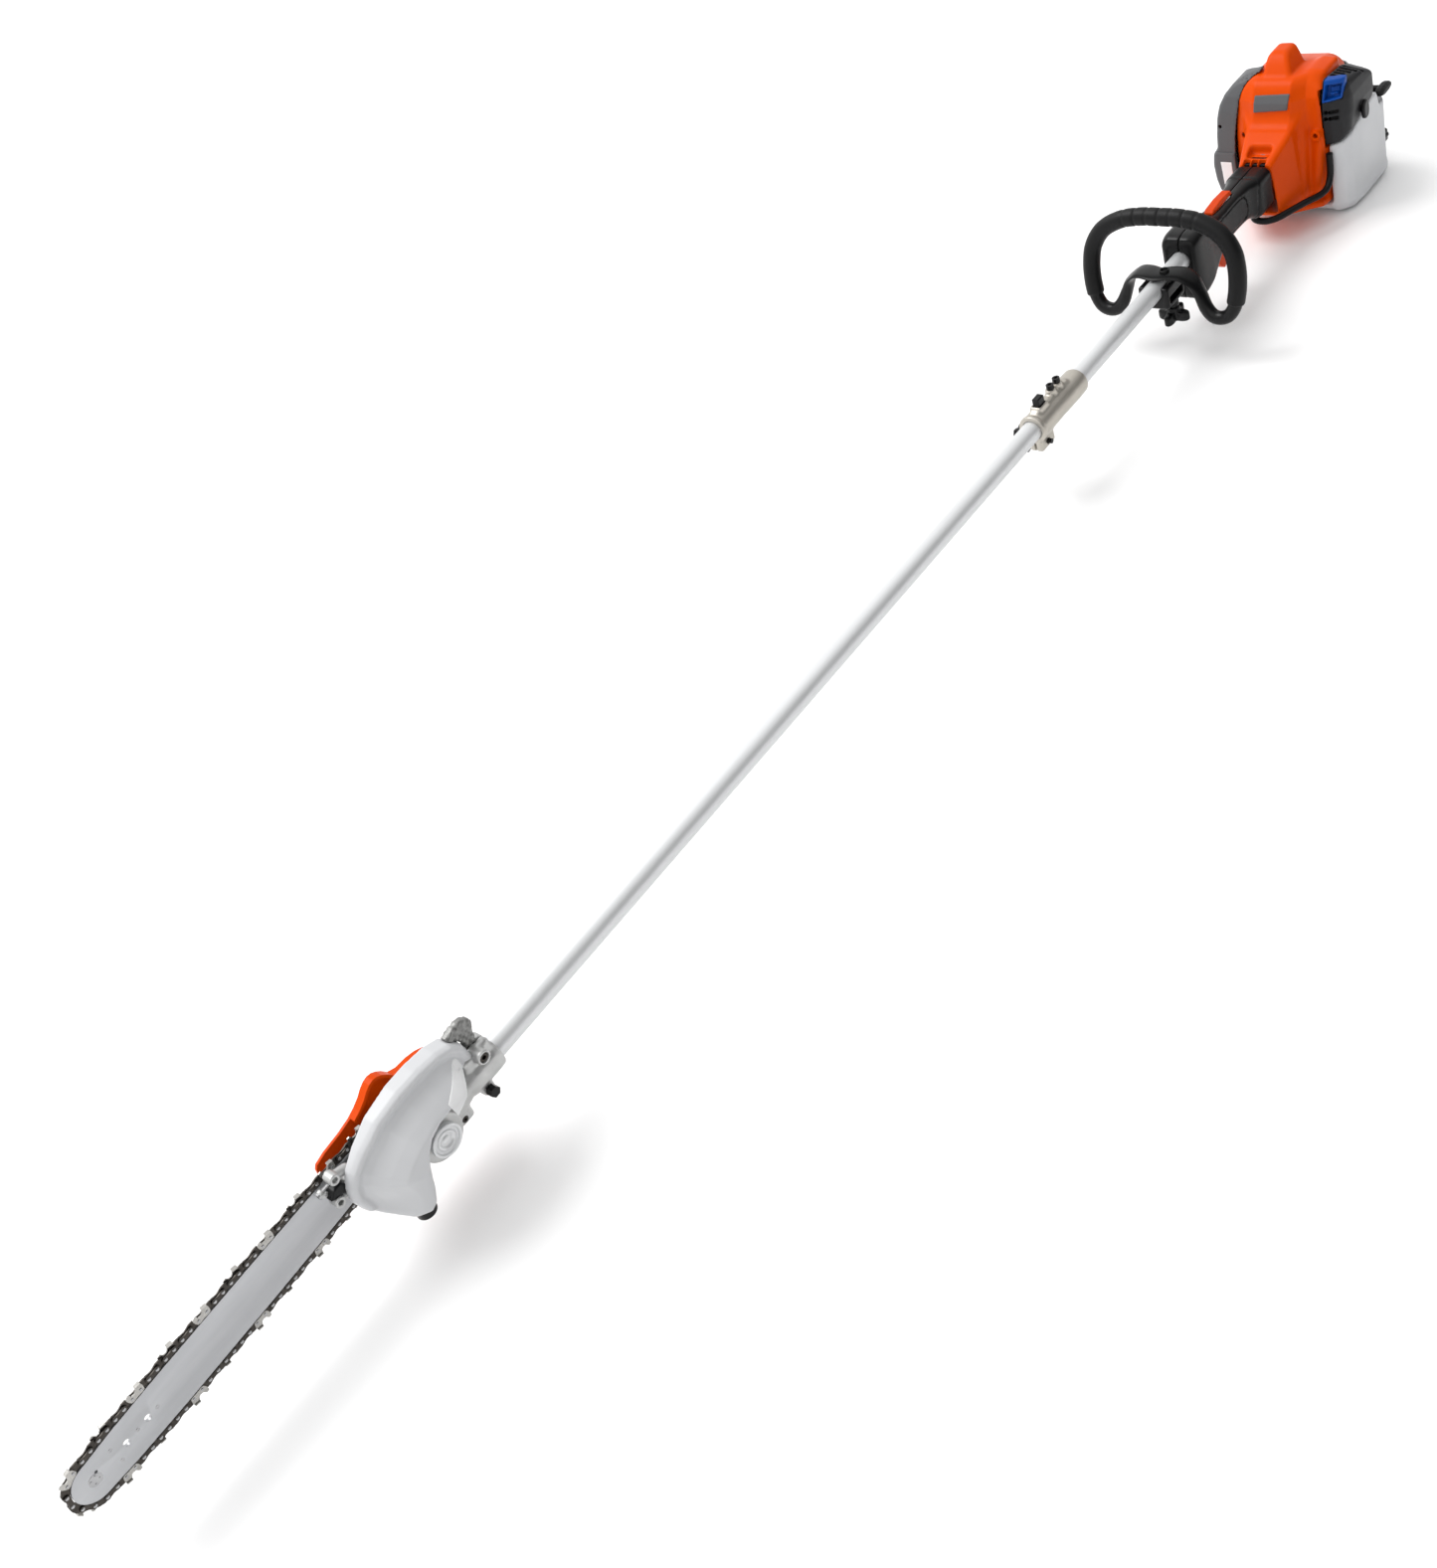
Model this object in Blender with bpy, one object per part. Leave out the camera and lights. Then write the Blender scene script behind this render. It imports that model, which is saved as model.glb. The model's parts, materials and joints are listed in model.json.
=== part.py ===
"""Petrol pole saw, each real piece as its own solid.

Dimensions below are millimetres. The shaft axis runs along +X at y 0, the bar nose points to +X and +Y is the
tool's left. Heights are counted from a datum DATUM below the fuel tank's underside, which ends up on z 0.
"""

import math

import bmesh
import bpy
from mathutils import Matrix, Vector

MM = 0.001
DATUM = 20.0
CLEAR = 0.3
ROUND = 16

# Shaft line.
AXIS_Z = 120.0
TUBE_R = 12.0
TUBE_BORE_R = 10.5
DRIVE_R = 4.0
TUBE_HOLE_R = TUBE_R + CLEAR
UPPER_TUBE_X = (84.0, 647.0)
LOWER_TUBE_X = (649.0, 1690.0)

# Power head.
SHROUD_WALL = 3.0
COVER_WALL = 2.6
TANK_X = (-80.0, 50.0)
# Rows of (x, share of the cover's depth, share of its height) along the muffler cover.
COVER_ROWS = (
    (-48, 0.55, 0.84),
    (-42, 0.78, 0.92),
    (-28, 0.95, 0.98),
    (-12, 1.0, 1.0),
    (53, 1.0, 1.0),
    (59.5, 0.93, 0.985),
    (62, 0.74, 0.95),
)
FAN_BLADES = 14
FIN_COUNT = 6

# Grip and loop handle.
GRIP_X = (128.5, 337.0)
TRIGGER_HALF = 5.0
LOCKOUT_HALF = 6.0
LOOP_X = 381.6
LOOP_LEAN = 0.187
SLEEVE_R = 11.0
CORE_R = 8.6

# Coupling.
COUPLING_X = (597.0, 700.0)
COUPLING_R = 17.0

# Saw head.
SPROCKET_X = 1755.0
SPROCKET_R = 17.8
SPROCKET_TEETH = 6
BAR_Y = -31.0
BAR_TILT = 1.9
BAR_HALF = 1.9
CHAIN_HALF = 3.2
BAR_TAIL_X = 1783.0
NOSE_X = 2131.0
NOSE_R = 21.0
CHAIN_LINKS = 46
STUD_X = 1806.0
STUD_Z = 118.3
CLAMP_Y = 16.4
UPPER_EAR = (1842.4, 155.8)
LOWER_EAR = (1850.6, 132.0)
TENSION_Z = 144.2
RAIL = (
    (1755.0, 18.2),
    (1785.0, 20.5),
    (1822.0, 22.3),
    (1870.0, 23.6),
    (1940.0, 24.3),
    (2040.0, 24.3),
    (2095.0, 23.3),
    (2131.0, 21.0),
)

LOOKS = {
    "orange": ((0.80, 0.12, 0.02), 0.38, 0.0),
    "orange_dark": ((0.62, 0.08, 0.015), 0.42, 0.0),
    "grey_plastic": ((0.13, 0.13, 0.135), 0.50, 0.0),
    "dark_plastic": ((0.055, 0.055, 0.06), 0.48, 0.0),
    "black_plastic": ((0.018, 0.018, 0.02), 0.42, 0.0),
    "black_rubber": ((0.014, 0.014, 0.015), 0.60, 0.0),
    "blue": ((0.01, 0.09, 0.45), 0.40, 0.0),
    "tank_white": ((0.72, 0.73, 0.74), 0.35, 0.0),
    "white_plastic": ((0.70, 0.71, 0.72), 0.40, 0.0),
    "aluminium": ((0.66, 0.67, 0.68), 0.35, 1.0),
    "cast_metal": ((0.55, 0.55, 0.54), 0.50, 1.0),
    "champagne": ((0.50, 0.47, 0.42), 0.45, 1.0),
    "steel": ((0.42, 0.42, 0.43), 0.35, 1.0),
    "dark_steel": ((0.12, 0.115, 0.11), 0.40, 1.0),
    "bar_steel": ((0.58, 0.58, 0.59), 0.42, 1.0),
    "foam": ((0.05, 0.05, 0.05), 0.90, 0.0),
}


def clear_scene():
    for obj in list(bpy.data.objects):
        bpy.data.objects.remove(obj)


def metres(point):
    """A point in metres above the tank's underside."""
    x, y, z = point
    return Vector((x * MM, y * MM, (z - DATUM) * MM))


def solid(points, faces):
    """A closed mesh object from millimetre points, with its faces turned outwards."""
    mesh = bpy.data.meshes.new("solid")
    mesh.from_pydata([metres(point) for point in points], [], faces)
    bm = bmesh.new()
    bm.from_mesh(mesh)
    bmesh.ops.remove_doubles(bm, verts=bm.verts, dist=1e-6)
    bmesh.ops.recalc_face_normals(bm, faces=bm.faces)
    quads = [face for face in bm.faces if len(face.verts) == 4]
    bmesh.ops.connect_verts_nonplanar(bm, angle_limit=1e-3, faces=quads)
    bm.to_mesh(mesh)
    bm.free()
    obj = bpy.data.objects.new("solid", mesh)
    bpy.context.collection.objects.link(obj)
    return obj


def place(axis, along, a, b):
    """A point from its position along an axis and its two other coordinates in X, Y, Z order."""
    if axis == "x":
        return (along, a, b)
    if axis == "y":
        return (a, along, b)
    return (a, b, along)


def loft(axis, sections, closed=False):
    """Skins outlines that all have the same number of points; open ends get flat caps."""
    count = len(sections[0][1])
    points = [place(axis, along, a, b) for along, outline in sections for a, b in outline]
    faces = []
    spans = len(sections) if closed else len(sections) - 1
    for ring in range(spans):
        low = ring * count
        high = (ring + 1) % len(sections) * count
        for k in range(count):
            following = (k + 1) % count
            faces.append((low + k, low + following, high + following, high + k))
    if not closed:
        faces.append(tuple(range(count)))
        faces.append(tuple(range(len(points) - count, len(points))))
    return solid(points, faces)


def prism(axis, outline, low, high):
    return loft(axis, [(low, outline), (high, outline)])


def block(x0, x1, y0, y1, z0, z1):
    return prism("z", [(x0, y0), (x1, y0), (x1, y1), (x0, y1)], z0, z1)


def circle(radius, centre=(0.0, 0.0), steps=ROUND, start=0.0):
    turn = 2 * math.pi / steps
    return [
        (centre[0] + radius * math.cos(start + k * turn), centre[1] + radius * math.sin(start + k * turn))
        for k in range(steps)
    ]


def lobed(radius, depth, count, centre, steps):
    """A round outline whose radius rises and falls to give finger lobes or teeth."""
    outline = []
    for k in range(steps):
        angle = 2 * math.pi * k / steps
        reach = radius + depth * math.cos(count * angle)
        outline.append((centre[0] + reach * math.cos(angle), centre[1] + reach * math.sin(angle)))
    return outline


def toothed(root, tip, teeth, centre, width=0.5):
    """A gear outline with straight-sided teeth; width is the share of the pitch taken by a tooth's tip."""
    outline = []
    pitch = 2 * math.pi / teeth
    for tooth in range(teeth):
        middle = tooth * pitch
        for reach, offset in ((root, -0.42), (tip, -0.5 * width), (tip, 0.5 * width), (root, 0.42)):
            angle = middle + offset * pitch
            outline.append((centre[0] + reach * math.cos(angle), centre[1] + reach * math.sin(angle)))
    return outline


def rod(axis, radius, centre, low, high, steps=ROUND):
    return prism(axis, circle(radius, centre, steps, 0.05), low, high)


def turned(axis, centre, profile, steps=ROUND):
    """Revolves a closed (along, radius) profile; a radius of 0 lies on the axis."""
    sections = [
        [(centre[0] + max(r, 1e-4) * c, centre[1] + max(r, 1e-4) * s, along) for along, r in profile]
        for c, s in circle(1.0, steps=steps)
    ]
    count = len(profile)
    points = [place(axis, along, a, b) for section in sections for a, b, along in section]
    faces = []
    for turn in range(steps):
        low = turn * count
        high = (turn + 1) % steps * count
        for k in range(count):
            following = (k + 1) % count
            if profile[k][1] == 0 and profile[following][1] == 0:
                continue
            faces.append((low + k, low + following, high + following, high + k))
    mesh_obj = solid(points, faces)
    bm = bmesh.new()
    bm.from_mesh(mesh_obj.data)
    bmesh.ops.remove_doubles(bm, verts=bm.verts, dist=2e-6)
    bmesh.ops.dissolve_degenerate(bm, edges=bm.edges, dist=1e-7)
    bmesh.ops.recalc_face_normals(bm, faces=bm.faces)
    bm.to_mesh(mesh_obj.data)
    bm.free()
    return mesh_obj


def ring(axis, centre, inner, outer, low, high, steps=ROUND):
    return turned(axis, centre, [(low, inner), (low, outer), (high, outer), (high, inner)], steps)


def rounded(outline, times=2):
    """Cuts the corners of an outline repeatedly, which leaves it smooth."""
    for _ in range(times):
        cut = []
        for k, (a, b) in enumerate(outline):
            c, d = outline[(k + 1) % len(outline)]
            cut.append((0.75 * a + 0.25 * c, 0.75 * b + 0.25 * d))
            cut.append((0.25 * a + 0.75 * c, 0.25 * b + 0.75 * d))
        outline = cut
    return outline


def barrel(left, right, low, high, corner, times=1):
    """A rounded rectangle; corner is the share of its shorter side that each corner takes."""
    cut = corner * min(right - left, high - low)
    return rounded(
        [
            (left, low + cut),
            (left, high - cut),
            (left + cut, high),
            (right - cut, high),
            (right, high - cut),
            (right, low + cut),
            (right - cut, low),
            (left + cut, low),
        ],
        times,
    )


def inset(outline, distance):
    """Moves every side of an outline inwards."""
    count = len(outline)
    area = sum(
        outline[k][0] * outline[(k + 1) % count][1] - outline[(k + 1) % count][0] * outline[k][1]
        for k in range(count)
    )
    side = 1.0 if area > 0 else -1.0
    moved = []
    for k, here in enumerate(outline):
        before = Vector(here) - Vector(outline[k - 1])
        after = Vector(outline[(k + 1) % count]) - Vector(here)
        first = Vector((-before.y, before.x)).normalized() * side
        second = Vector((-after.y, after.x)).normalized() * side
        push = (first + second) / max(1.0 + first.dot(second), 0.3)
        moved.append((here[0] + push.x * distance, here[1] + push.y * distance))
    return moved


def shrink(outline, distance):
    """Scales an outline about its middle so that each side comes in by the distance."""
    moved = []
    for axis in (0, 1):
        values = [point[axis] for point in outline]
        middle = 0.5 * (min(values) + max(values))
        half = 0.5 * (max(values) - min(values))
        moved.append([middle + (value - middle) * (1 - distance / half) for value in values])
    return list(zip(*moved))


def from_corner(outline, depth, height):
    """Scales an outline towards the side and bottom edges where it meets the engine."""
    side = max(point[0] for point in outline)
    bottom = min(point[1] for point in outline)
    return [(side + (a - side) * depth, bottom + (b - bottom) * height) for a, b in outline]


def pillow(axis, outline, low, high, edge_low, edge_high):
    """An extruded outline with each end's edge rounded."""
    sections = [(low, shrink(outline, edge_low)), (low + 0.3 * edge_low, shrink(outline, 0.3 * edge_low))]
    sections.append((low + edge_low, outline))
    sections.append((high - edge_high, outline))
    sections.append((high - 0.3 * edge_high, shrink(outline, 0.3 * edge_high)))
    sections.append((high, shrink(outline, edge_high)))
    if edge_low == 0:
        sections = sections[2:]
    if edge_high == 0:
        sections = sections[:-2]
    return loft(axis, sections)


def eased(rows, parts):
    """Rows of numbers with smooth rows put between them."""
    filled = []
    for k in range(len(rows) - 1):
        before = rows[max(k - 1, 0)]
        here = rows[k]
        after = rows[k + 1]
        beyond = rows[min(k + 2, len(rows) - 1)]
        for part in range(parts):
            t = part / parts
            filled.append(
                tuple(
                    0.5
                    * (
                        2 * q
                        + (r - p) * t
                        + (2 * p - 5 * q + 4 * r - s) * t * t
                        + (3 * q - p - 3 * r + s) * t * t * t
                    )
                    for p, q, r, s in zip(before, here, after, beyond)
                )
            )
    filled.append(tuple(rows[-1]))
    return filled


def hull_of(axis, rows, parts, times=1):
    """A loft of barrels from rows of (along, left, right, low, high, corner)."""
    return loft(axis, [(row[0], barrel(*row[1:], times)) for row in eased(rows, parts)])


def shrunk(rows, wall, start, end):
    """The same rows moved inwards by a wall, with the first and last stations moved."""
    inner = [(a, b + wall, c - wall, d + wall, e - wall, f) for a, b, c, d, e, f in rows]
    return [(start,) + inner[0][1:]] + inner + [(end,) + inner[-1][1:]]


def applied(obj, modifier_type, settings):
    modifier = obj.modifiers.new("step", modifier_type)
    for key, value in settings.items():
        setattr(modifier, key, value)
    graph = bpy.context.evaluated_depsgraph_get()
    mesh = bpy.data.meshes.new_from_object(obj.evaluated_get(graph))
    obj.modifiers.clear()
    obj.data = mesh
    return obj


def combined(base, tools, operation):
    for tool in tools:
        applied(base, "BOOLEAN", {"operation": operation, "solver": "EXACT", "object": tool})
        bpy.data.objects.remove(tool)
    return base


def minus(base, *tools):
    return combined(base, tools, "DIFFERENCE")


def plus(base, *tools):
    return combined(base, tools, "UNION")


def common(base, tool):
    return combined(base, [tool], "INTERSECT")


def bevelled(obj, width, segments=2, angle=40.0):
    settings = {
        "width": width * MM,
        "segments": segments,
        "limit_method": "ANGLE",
        "angle_limit": math.radians(angle),
    }
    return applied(obj, "BEVEL", settings)


def turned_to(obj, pivot, axis, degrees):
    """Turns an object's mesh about a point."""
    centre = metres(pivot)
    turn = Matrix.Translation(centre) @ Matrix.Rotation(math.radians(degrees), 4, axis)
    obj.data.transform(turn @ Matrix.Translation(-centre))
    return obj


def keep(name, obj, look, pivot=None):
    """Names a finished solid, gives it its material and puts its origin on its joint axis."""
    obj.name = name
    obj.data.name = name
    colour, roughness, metallic = LOOKS[look]
    material = bpy.data.materials.new(name)
    material.use_nodes = True
    shader = material.node_tree.nodes["Principled BSDF"]
    shader.inputs["Base Color"].default_value = (*colour, 1.0)
    shader.inputs["Roughness"].default_value = roughness
    shader.inputs["Metallic"].default_value = metallic
    material.diffuse_color = (*colour, 1.0)
    obj.data.materials.clear()
    obj.data.materials.append(material)
    for polygon in obj.data.polygons:
        polygon.use_smooth = True
    obj.data.set_sharp_from_angle(angle=math.radians(34))
    if pivot:
        obj.data.transform(Matrix.Translation(-metres(pivot)))
        obj.location = metres(pivot)
    return obj


def spline(points, parts, closed=False):
    if closed:
        points = points + points[:3]
        return eased(points, parts)[parts:-1 - parts]
    return eased(points, parts)


def frames_along(path, closed):
    """A tangent and two steady cross directions at each path point."""
    count = len(path)
    frames = []
    side = None
    for k in range(count):
        before = path[k - 1] if closed or k else path[k]
        after = path[(k + 1) % count] if closed or k < count - 1 else path[k]
        tangent = (after - before).normalized()
        if side is None:
            side = tangent.cross(Vector((0, 0, 1)))
            side = tangent.cross(Vector((0, 1, 0))) if side.length < 0.2 else side
        side = (side - tangent * side.dot(tangent)).normalized()
        frames.append((tangent, side, tangent.cross(side)))
    return frames


def swept(path, radii, sides=16, closed=False, bore=None, first_side=None):
    """A round or oval bar along a path; radii gives (across, out) at each point, bore leaves it a sleeve."""
    path = [Vector(point) for point in path]
    frames = frames_along(path, closed)
    points = []
    for point, (tangent, side, out), (wide, thick) in zip(path, frames, radii):
        if first_side:
            side = (Vector(first_side) - tangent * tangent.dot(Vector(first_side))).normalized()
            out = tangent.cross(side)
        for c, s in circle(1.0, steps=sides):
            points.append(point + side * c * wide + out * s * thick)
        if bore:
            for c, s in circle(1.0, steps=sides):
                points.append(point + side * c * bore + out * s * bore)
    per = sides * (2 if bore else 1)
    faces = []
    spans = len(path) if closed else len(path) - 1
    for k in range(spans):
        low = k * per
        high = (k + 1) % len(path) * per
        for start in range(0, per, sides):
            for j in range(sides):
                following = (j + 1) % sides
                a, b = low + start + j, low + start + following
                c, d = high + start + following, high + start + j
                faces.append((a, b, c, d) if start == 0 else (d, c, b, a))
    ends = [] if closed else [0, (len(path) - 1) * per]
    for end in ends:
        if bore:
            for j in range(sides):
                following = (j + 1) % sides
                faces.append((end + j, end + following, end + sides + following, end + sides + j))
        else:
            faces.append(tuple(end + j for j in range(sides)))
    return solid(points, faces)


def cap_screw(axis, centre, head_r, head, shank_r, shank):
    """A socket-head screw: head and shank are (low, high) along the axis, and they share one end."""
    low, high = min(head[0], shank[0]), max(head[1], shank[1])
    if shank[0] < head[0]:
        profile = [(low, 0), (low, shank_r), (head[0], shank_r), (head[0], head_r), (high, head_r), (high, 0)]
        socket = rod(axis, 0.5 * head_r, centre, high - 0.5 * (head[1] - head[0]), high + 1, 6)
    else:
        profile = [(low, 0), (low, head_r), (head[1], head_r), (head[1], shank_r), (high, shank_r), (high, 0)]
        socket = rod(axis, 0.5 * head_r, centre, low - 1, low + 0.5 * (head[1] - head[0]), 6)
    return minus(turned(axis, centre, profile, 12), socket)


# Rows of (x, left y, right y, low z, high z, corner) along the power head's shroud, then along its nose.
SHROUD_ROWS = (
    (-40, -53, 53, 50, 200, 0.26),
    (0, -56, 60, 44, 210, 0.26),
    (36, -57, 62, 40, 212, 0.24),
    (56, -55, 60, 40, 208, 0.24),
    (64, -50, 55, 44, 200, 0.24),
    (68, -44, 48, 50, 190, 0.24),
)
NOSE_ROWS = (
    (58, -42, 46, 42, 180, 0.26),
    (76, -40, 44, 44, 170, 0.28),
    (92, -37, 40, 50, 155, 0.30),
    (108, -34, 36, 58, 144, 0.30),
    (120, -32, 34, 64, 139, 0.30),
    (127, -31, 33, 66, 137, 0.30),
)
# Rows of (z, low x, high x, low y, high y, corner) up the hood over the spark plug.
HOOD_ROWS = ((186, -24, 70, -24, 24, 0.22), (208, -20, 46, -20, 20, 0.24), (222, -12, 30, -14, 14, 0.3))
HOOD_TOP = ((231, -8, 18, -11, 11, 0.3), (234, -3, 12, -7, 7, 0.3))


def power_head_shell():
    shroud = plus(hull_of("x", SHROUD_ROWS, 2, 2), hull_of("x", NOSE_ROWS, 1, 2))
    plus(shroud, hull_of("z", HOOD_ROWS + HOOD_TOP, 1))
    hood_inner = [(z, a + 4, b - 5, c + 4, d - 4, e) for z, a, b, c, d, e in HOOD_ROWS]
    hood_inner[0] = (182, -18, 50, -19, 19, 0.22)
    hood_inner.append((230, -4, 12, -7, 7, 0.3))
    body = [(x, left, min(right, 54.5), *rest) for x, left, right, *rest in SHROUD_ROWS[:-1]]
    minus(shroud, hull_of("x", shrunk(body, SHROUD_WALL, -46, 65), 1), hull_of("z", hood_inner, 1))
    minus(shroud, hull_of("x", shrunk(NOSE_ROWS, SHROUD_WALL, 50, 133), 1))
    minus(shroud, block(-21.3, 22.7, -70, -36, 141.6, 171.4), block(-24.6, 25.4, 30, 80, 143.4, 192.7))
    minus(shroud, block(-60, 53, 54.7, 80, 115.5, 230))
    for y in (-15, -5, 5):
        minus(shroud, block(119, 129, y, y + 7, 128, 142))
    minus(shroud, turned_to(block(99, 105, -13, 11, 130, 165), (102, 0, 146), "Y", 35))
    for y in (-47, 52):
        minus(shroud, rod("x", 3.2, (y, 138), 40, 80, 12))
    keep("engine_shroud", shroud, "orange")

    outline = rounded(
        [(-59, 190), (-68, 187), (-80, 172), (-87, 152), (-88, 128), (-93, 116), (-91, 62), (-83, 51), (-59, 51)],
        2,
    )
    inner = rounded(
        [(-50, 186), (-66, 183), (-77, 170), (-84, 152), (-85, 130), (-89.5, 114), (-88, 64), (-81, 54.5), (-50, 54.5)],
        2,
    )
    cover = loft("x", [(x, from_corner(outline, *scale)) for x, *scale in COVER_ROWS])
    cutter = loft("x", [(x + COVER_WALL if x < 0 else x - COVER_WALL, from_corner(inner, *scale))
                        for x, *scale in COVER_ROWS])
    minus(cover, cutter)
    minus(cover, rod("x", 2.4, (-81, 148), 45, 70, 10))
    for z in (96, 106, 116, 126):
        minus(cover, block(-36, 10, -110, -80, z, z + 4.5))
    keep("muffler_cover", cover, "grey_plastic")

    body = bevelled(block(-34, 34, -78, -61, 80, 162), 6, 2)
    muffler = plus(body, block(-15, 15, -62, -33.8, 146, 161))
    minus(muffler, rod("y", 5, (0, 154), -70, -30, 16), rod("x", 5, (-70, 100), 20, 50, 12))
    keep("muffler", muffler, "steel")


def engine_core():
    outline = rounded([(-30, 90), (30, 90), (38, 110), (36, 151), (-36, 151), (-38, 110)], 2)
    case = prism("x", outline, -36, 36)
    minus(case, rod("x", 9.3, (0, AXIS_Z), -40, 40))
    keep("crankcase", case, "cast_metal")

    profile = [(151.8, 0), (151.8, 30), (156, 30), (156, 21)]
    for fin in range(FIN_COUNT):
        z = 160 + 6.6 * fin
        reach = 32 if fin < FIN_COUNT - 2 else 26
        profile += [(z, 21), (z, reach), (z + 2.2, reach), (z + 2.2, 21)]
    profile += [(198, 19), (202, 12), (202, 0)]
    keep("cylinder", turned("z", (0, 0), profile, 14), "cast_metal")
    plug = [(202.3, 0), (202.3, 8), (211, 8), (211, 5), (214, 5), (214, 6.5), (220, 6.5), (224, 4), (224, 0)]
    keep("spark_plug_boot", turned("z", (0, 0), plug), "black_rubber")

    centre = (0, AXIS_Z)
    shaft = [(-60, 0), (-60, 6), (-37, 6), (-37, 9), (38, 9), (38, 7), (75, 7), (75, 0)]
    keep("crankshaft", turned("x", centre, shaft), "steel", (0, 0, AXIS_Z))
    fan = ring("x", centre, 7.3, 45, 41, 45)
    blades = minus(prism("x", toothed(20, 44, FAN_BLADES, centre, 0.14), 44.5, 57), rod("x", 7.3, centre, 40, 60))
    keep("flywheel_fan", plus(fan, blades), "cast_metal", (50, 0, AXIS_Z))
    shoes = minus(prism("x", rounded(toothed(13, 22.5, 2, centre, 0.62), 1), 63, 74), rod("x", 7.3, centre, 60, 80))
    keep("clutch_shoes", shoes, "dark_steel", (68, 0, AXIS_Z))
    drum = [(61.5, 23.5), (61.5, 27), (80, 27), (80, 4.3), (77, 4.3), (77, 23.5)]
    keep("clutch_drum", turned("x", centre, drum), "steel", (70, 0, AXIS_Z))
    housing = [(60, 28.5), (60, 31.5), (84, 31.5), (92, 20), (92, 16), (104, 15.5), (104, TUBE_HOLE_R)]
    housing += [(82.5, TUBE_HOLE_R), (82.5, 28.5)]
    keep("clutch_housing", turned("x", centre, housing), "cast_metal")


def intake_side():
    carb = bevelled(block(-17, 20, 33.6, 54.4, 152, 184), 2)
    minus(carb, rod("y", 8, (2, 168), 30, 70, 16))
    plus(carb, rod("z", 6, (-6, 44), 183, 190, 12))
    keep("carburettor", carb, "cast_metal")
    base = pillow("y", barrel(-64, 48.5, 120, 200, 0.16), 55.2, 60.0, 0, 2)
    minus(base, rod("y", 9, (2, 168), 50, 70, 16))
    minus(base, rod("y", 8.9, (-54, 165), 50, 70, 16))
    keep("filter_base", base, "dark_plastic")
    element = bevelled(block(-24, 34, 60.6, 74, 138, 186), 2)
    keep("air_filter_element", element, "foam")

    # Rows of (z, low x, high x, low y, high y, corner) up the filter cover.
    rows = [
        (118, -26, 45, 56, 80, 0.22),
        (127, -31, 50, 56, 88, 0.22),
        (158, -33, 51, 56, 91, 0.22),
        (184, -30, 50, 56, 88, 0.24),
        (194, -24, 46, 56, 80, 0.26),
        (198, -19, 41, 56, 75, 0.26),
    ]
    cover = hull_of("z", rows, 1)
    hollow = [(z, a + 3, b - 3, 40, d - 3, e) for z, a, b, c, d, e in rows]
    hollow = [(121,) + hollow[0][1:]] + hollow[1:-1] + [(195,) + hollow[-1][1:]]
    minus(cover, hull_of("z", hollow, 1), block(-90, 90, 30, 60.4, 100, 230))
    minus(cover, block(42.3, 60, 61.6, 84, 165.8, 195.5))
    for z in (155, 147):
        minus(cover, block(44, 60, 65, 80, z, z + 4.6))
    for x in (-6, 3, 12):
        minus(cover, block(x, x + 4, 64, 75, 190, 220))
    minus(cover, rod("y", 4.3, (4, 146), 80, 110, 14))
    keep("air_filter_cover", cover, "dark_plastic")

    bezel = minus(bevelled(block(43, 51.5, 61.9, 83.7, 166.3, 194.7), 1.2, 1), block(45, 60, 65, 81, 169, 188))
    minus(bezel, block(40, 46, 64, 82, 168, 193))
    keep("choke_bezel", bezel, "blue")
    lever = plus(block(37, 44.6, 68, 78, 173, 185), rod("y", 3.5, (39, 179), 68, 78, 12))
    keep("choke_lever", lever, "blue", (39, 73, 179))
    latch = plus(pillow("y", rounded([(-4, 158), (12, 158), (12, 134), (-4, 134)], 2), 92.6, 97, 0, 2),
                 rod("y", 4, (4, 146), 84, 93, 14))
    keep("filter_latch", latch, "black_plastic", (4, 92, 146))
    bulb = turned("y", (-54, 165), [(60.3, 0), (60.3, 8.5), (65, 8), (68, 5.5), (69.4, 2.5), (69.6, 0)], 14)
    keep("primer_bulb", bulb, "tank_white", (-54, 60.3, 165))


# Rows of (x, right y, low z, left y) along the fuel tank.
TANK_ROWS = (
    (-80, 76, 30, -38),
    (-76, 82, 23, -45),
    (-64, 88, 20, -50),
    (4, 88, 20, -50),
    (28, 85, 21, -48),
    (43, 78, 26, -42),
    (50, 71, 31, -34),
)


def tank_outline(right, low, left):
    """The tank's section: a tray under the engine and a column up its right side."""
    return rounded(
        [
            (left, low),
            (right - 42, low),
            (right - 14, low + 7),
            (right - 2, low + 28),
            (right, 76),
            (right - 2, 112),
            (64, 112),
            (63.6, 62),
            (62, 46),
            (48, 36),
            (left, 36),
            (left - 4, 33),
        ],
        1,
    )


def tank_and_starter():
    keep("fuel_tank", loft("x", [(x, tank_outline(*row)) for x, *row in TANK_ROWS]), "tank_white")
    cap = prism("x", lobed(12.5, 0.8, 10, (68, 60), 40), -92, -80.4)
    keep("fuel_cap", bevelled(cap, 1.2, 1), "black_plastic", (-86, 68, 60))

    housing = pillow("x", barrel(-50, 54, 56, 178, 0.24), -84, -44, 12, 2)
    minus(housing, rod("x", 7.5, (0, AXIS_Z), -70, -40))
    for angle in range(-60, 61, 20):
        slot = turned_to(block(-90, -60, -2.2, 2.2, 142, 158), (-70, 0, AXIS_Z), "X", angle)
        minus(housing, slot)
    keep("starter_housing", housing, "black_plastic")
    stem = turned("y", (-72, 134), [(56.5, 0), (56.5, 6.5), (60, 6.5), (66, 4.5), (80, 4.5), (80, 0)], 20)
    bar = pillow("y", rounded([(-88, 128), (-56, 128), (-56, 140), (-88, 140)], 2), 79, 91, 3, 4)
    keep("starter_handle", plus(stem, bar), "black_rubber", (-72, 56.5, 134))


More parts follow.
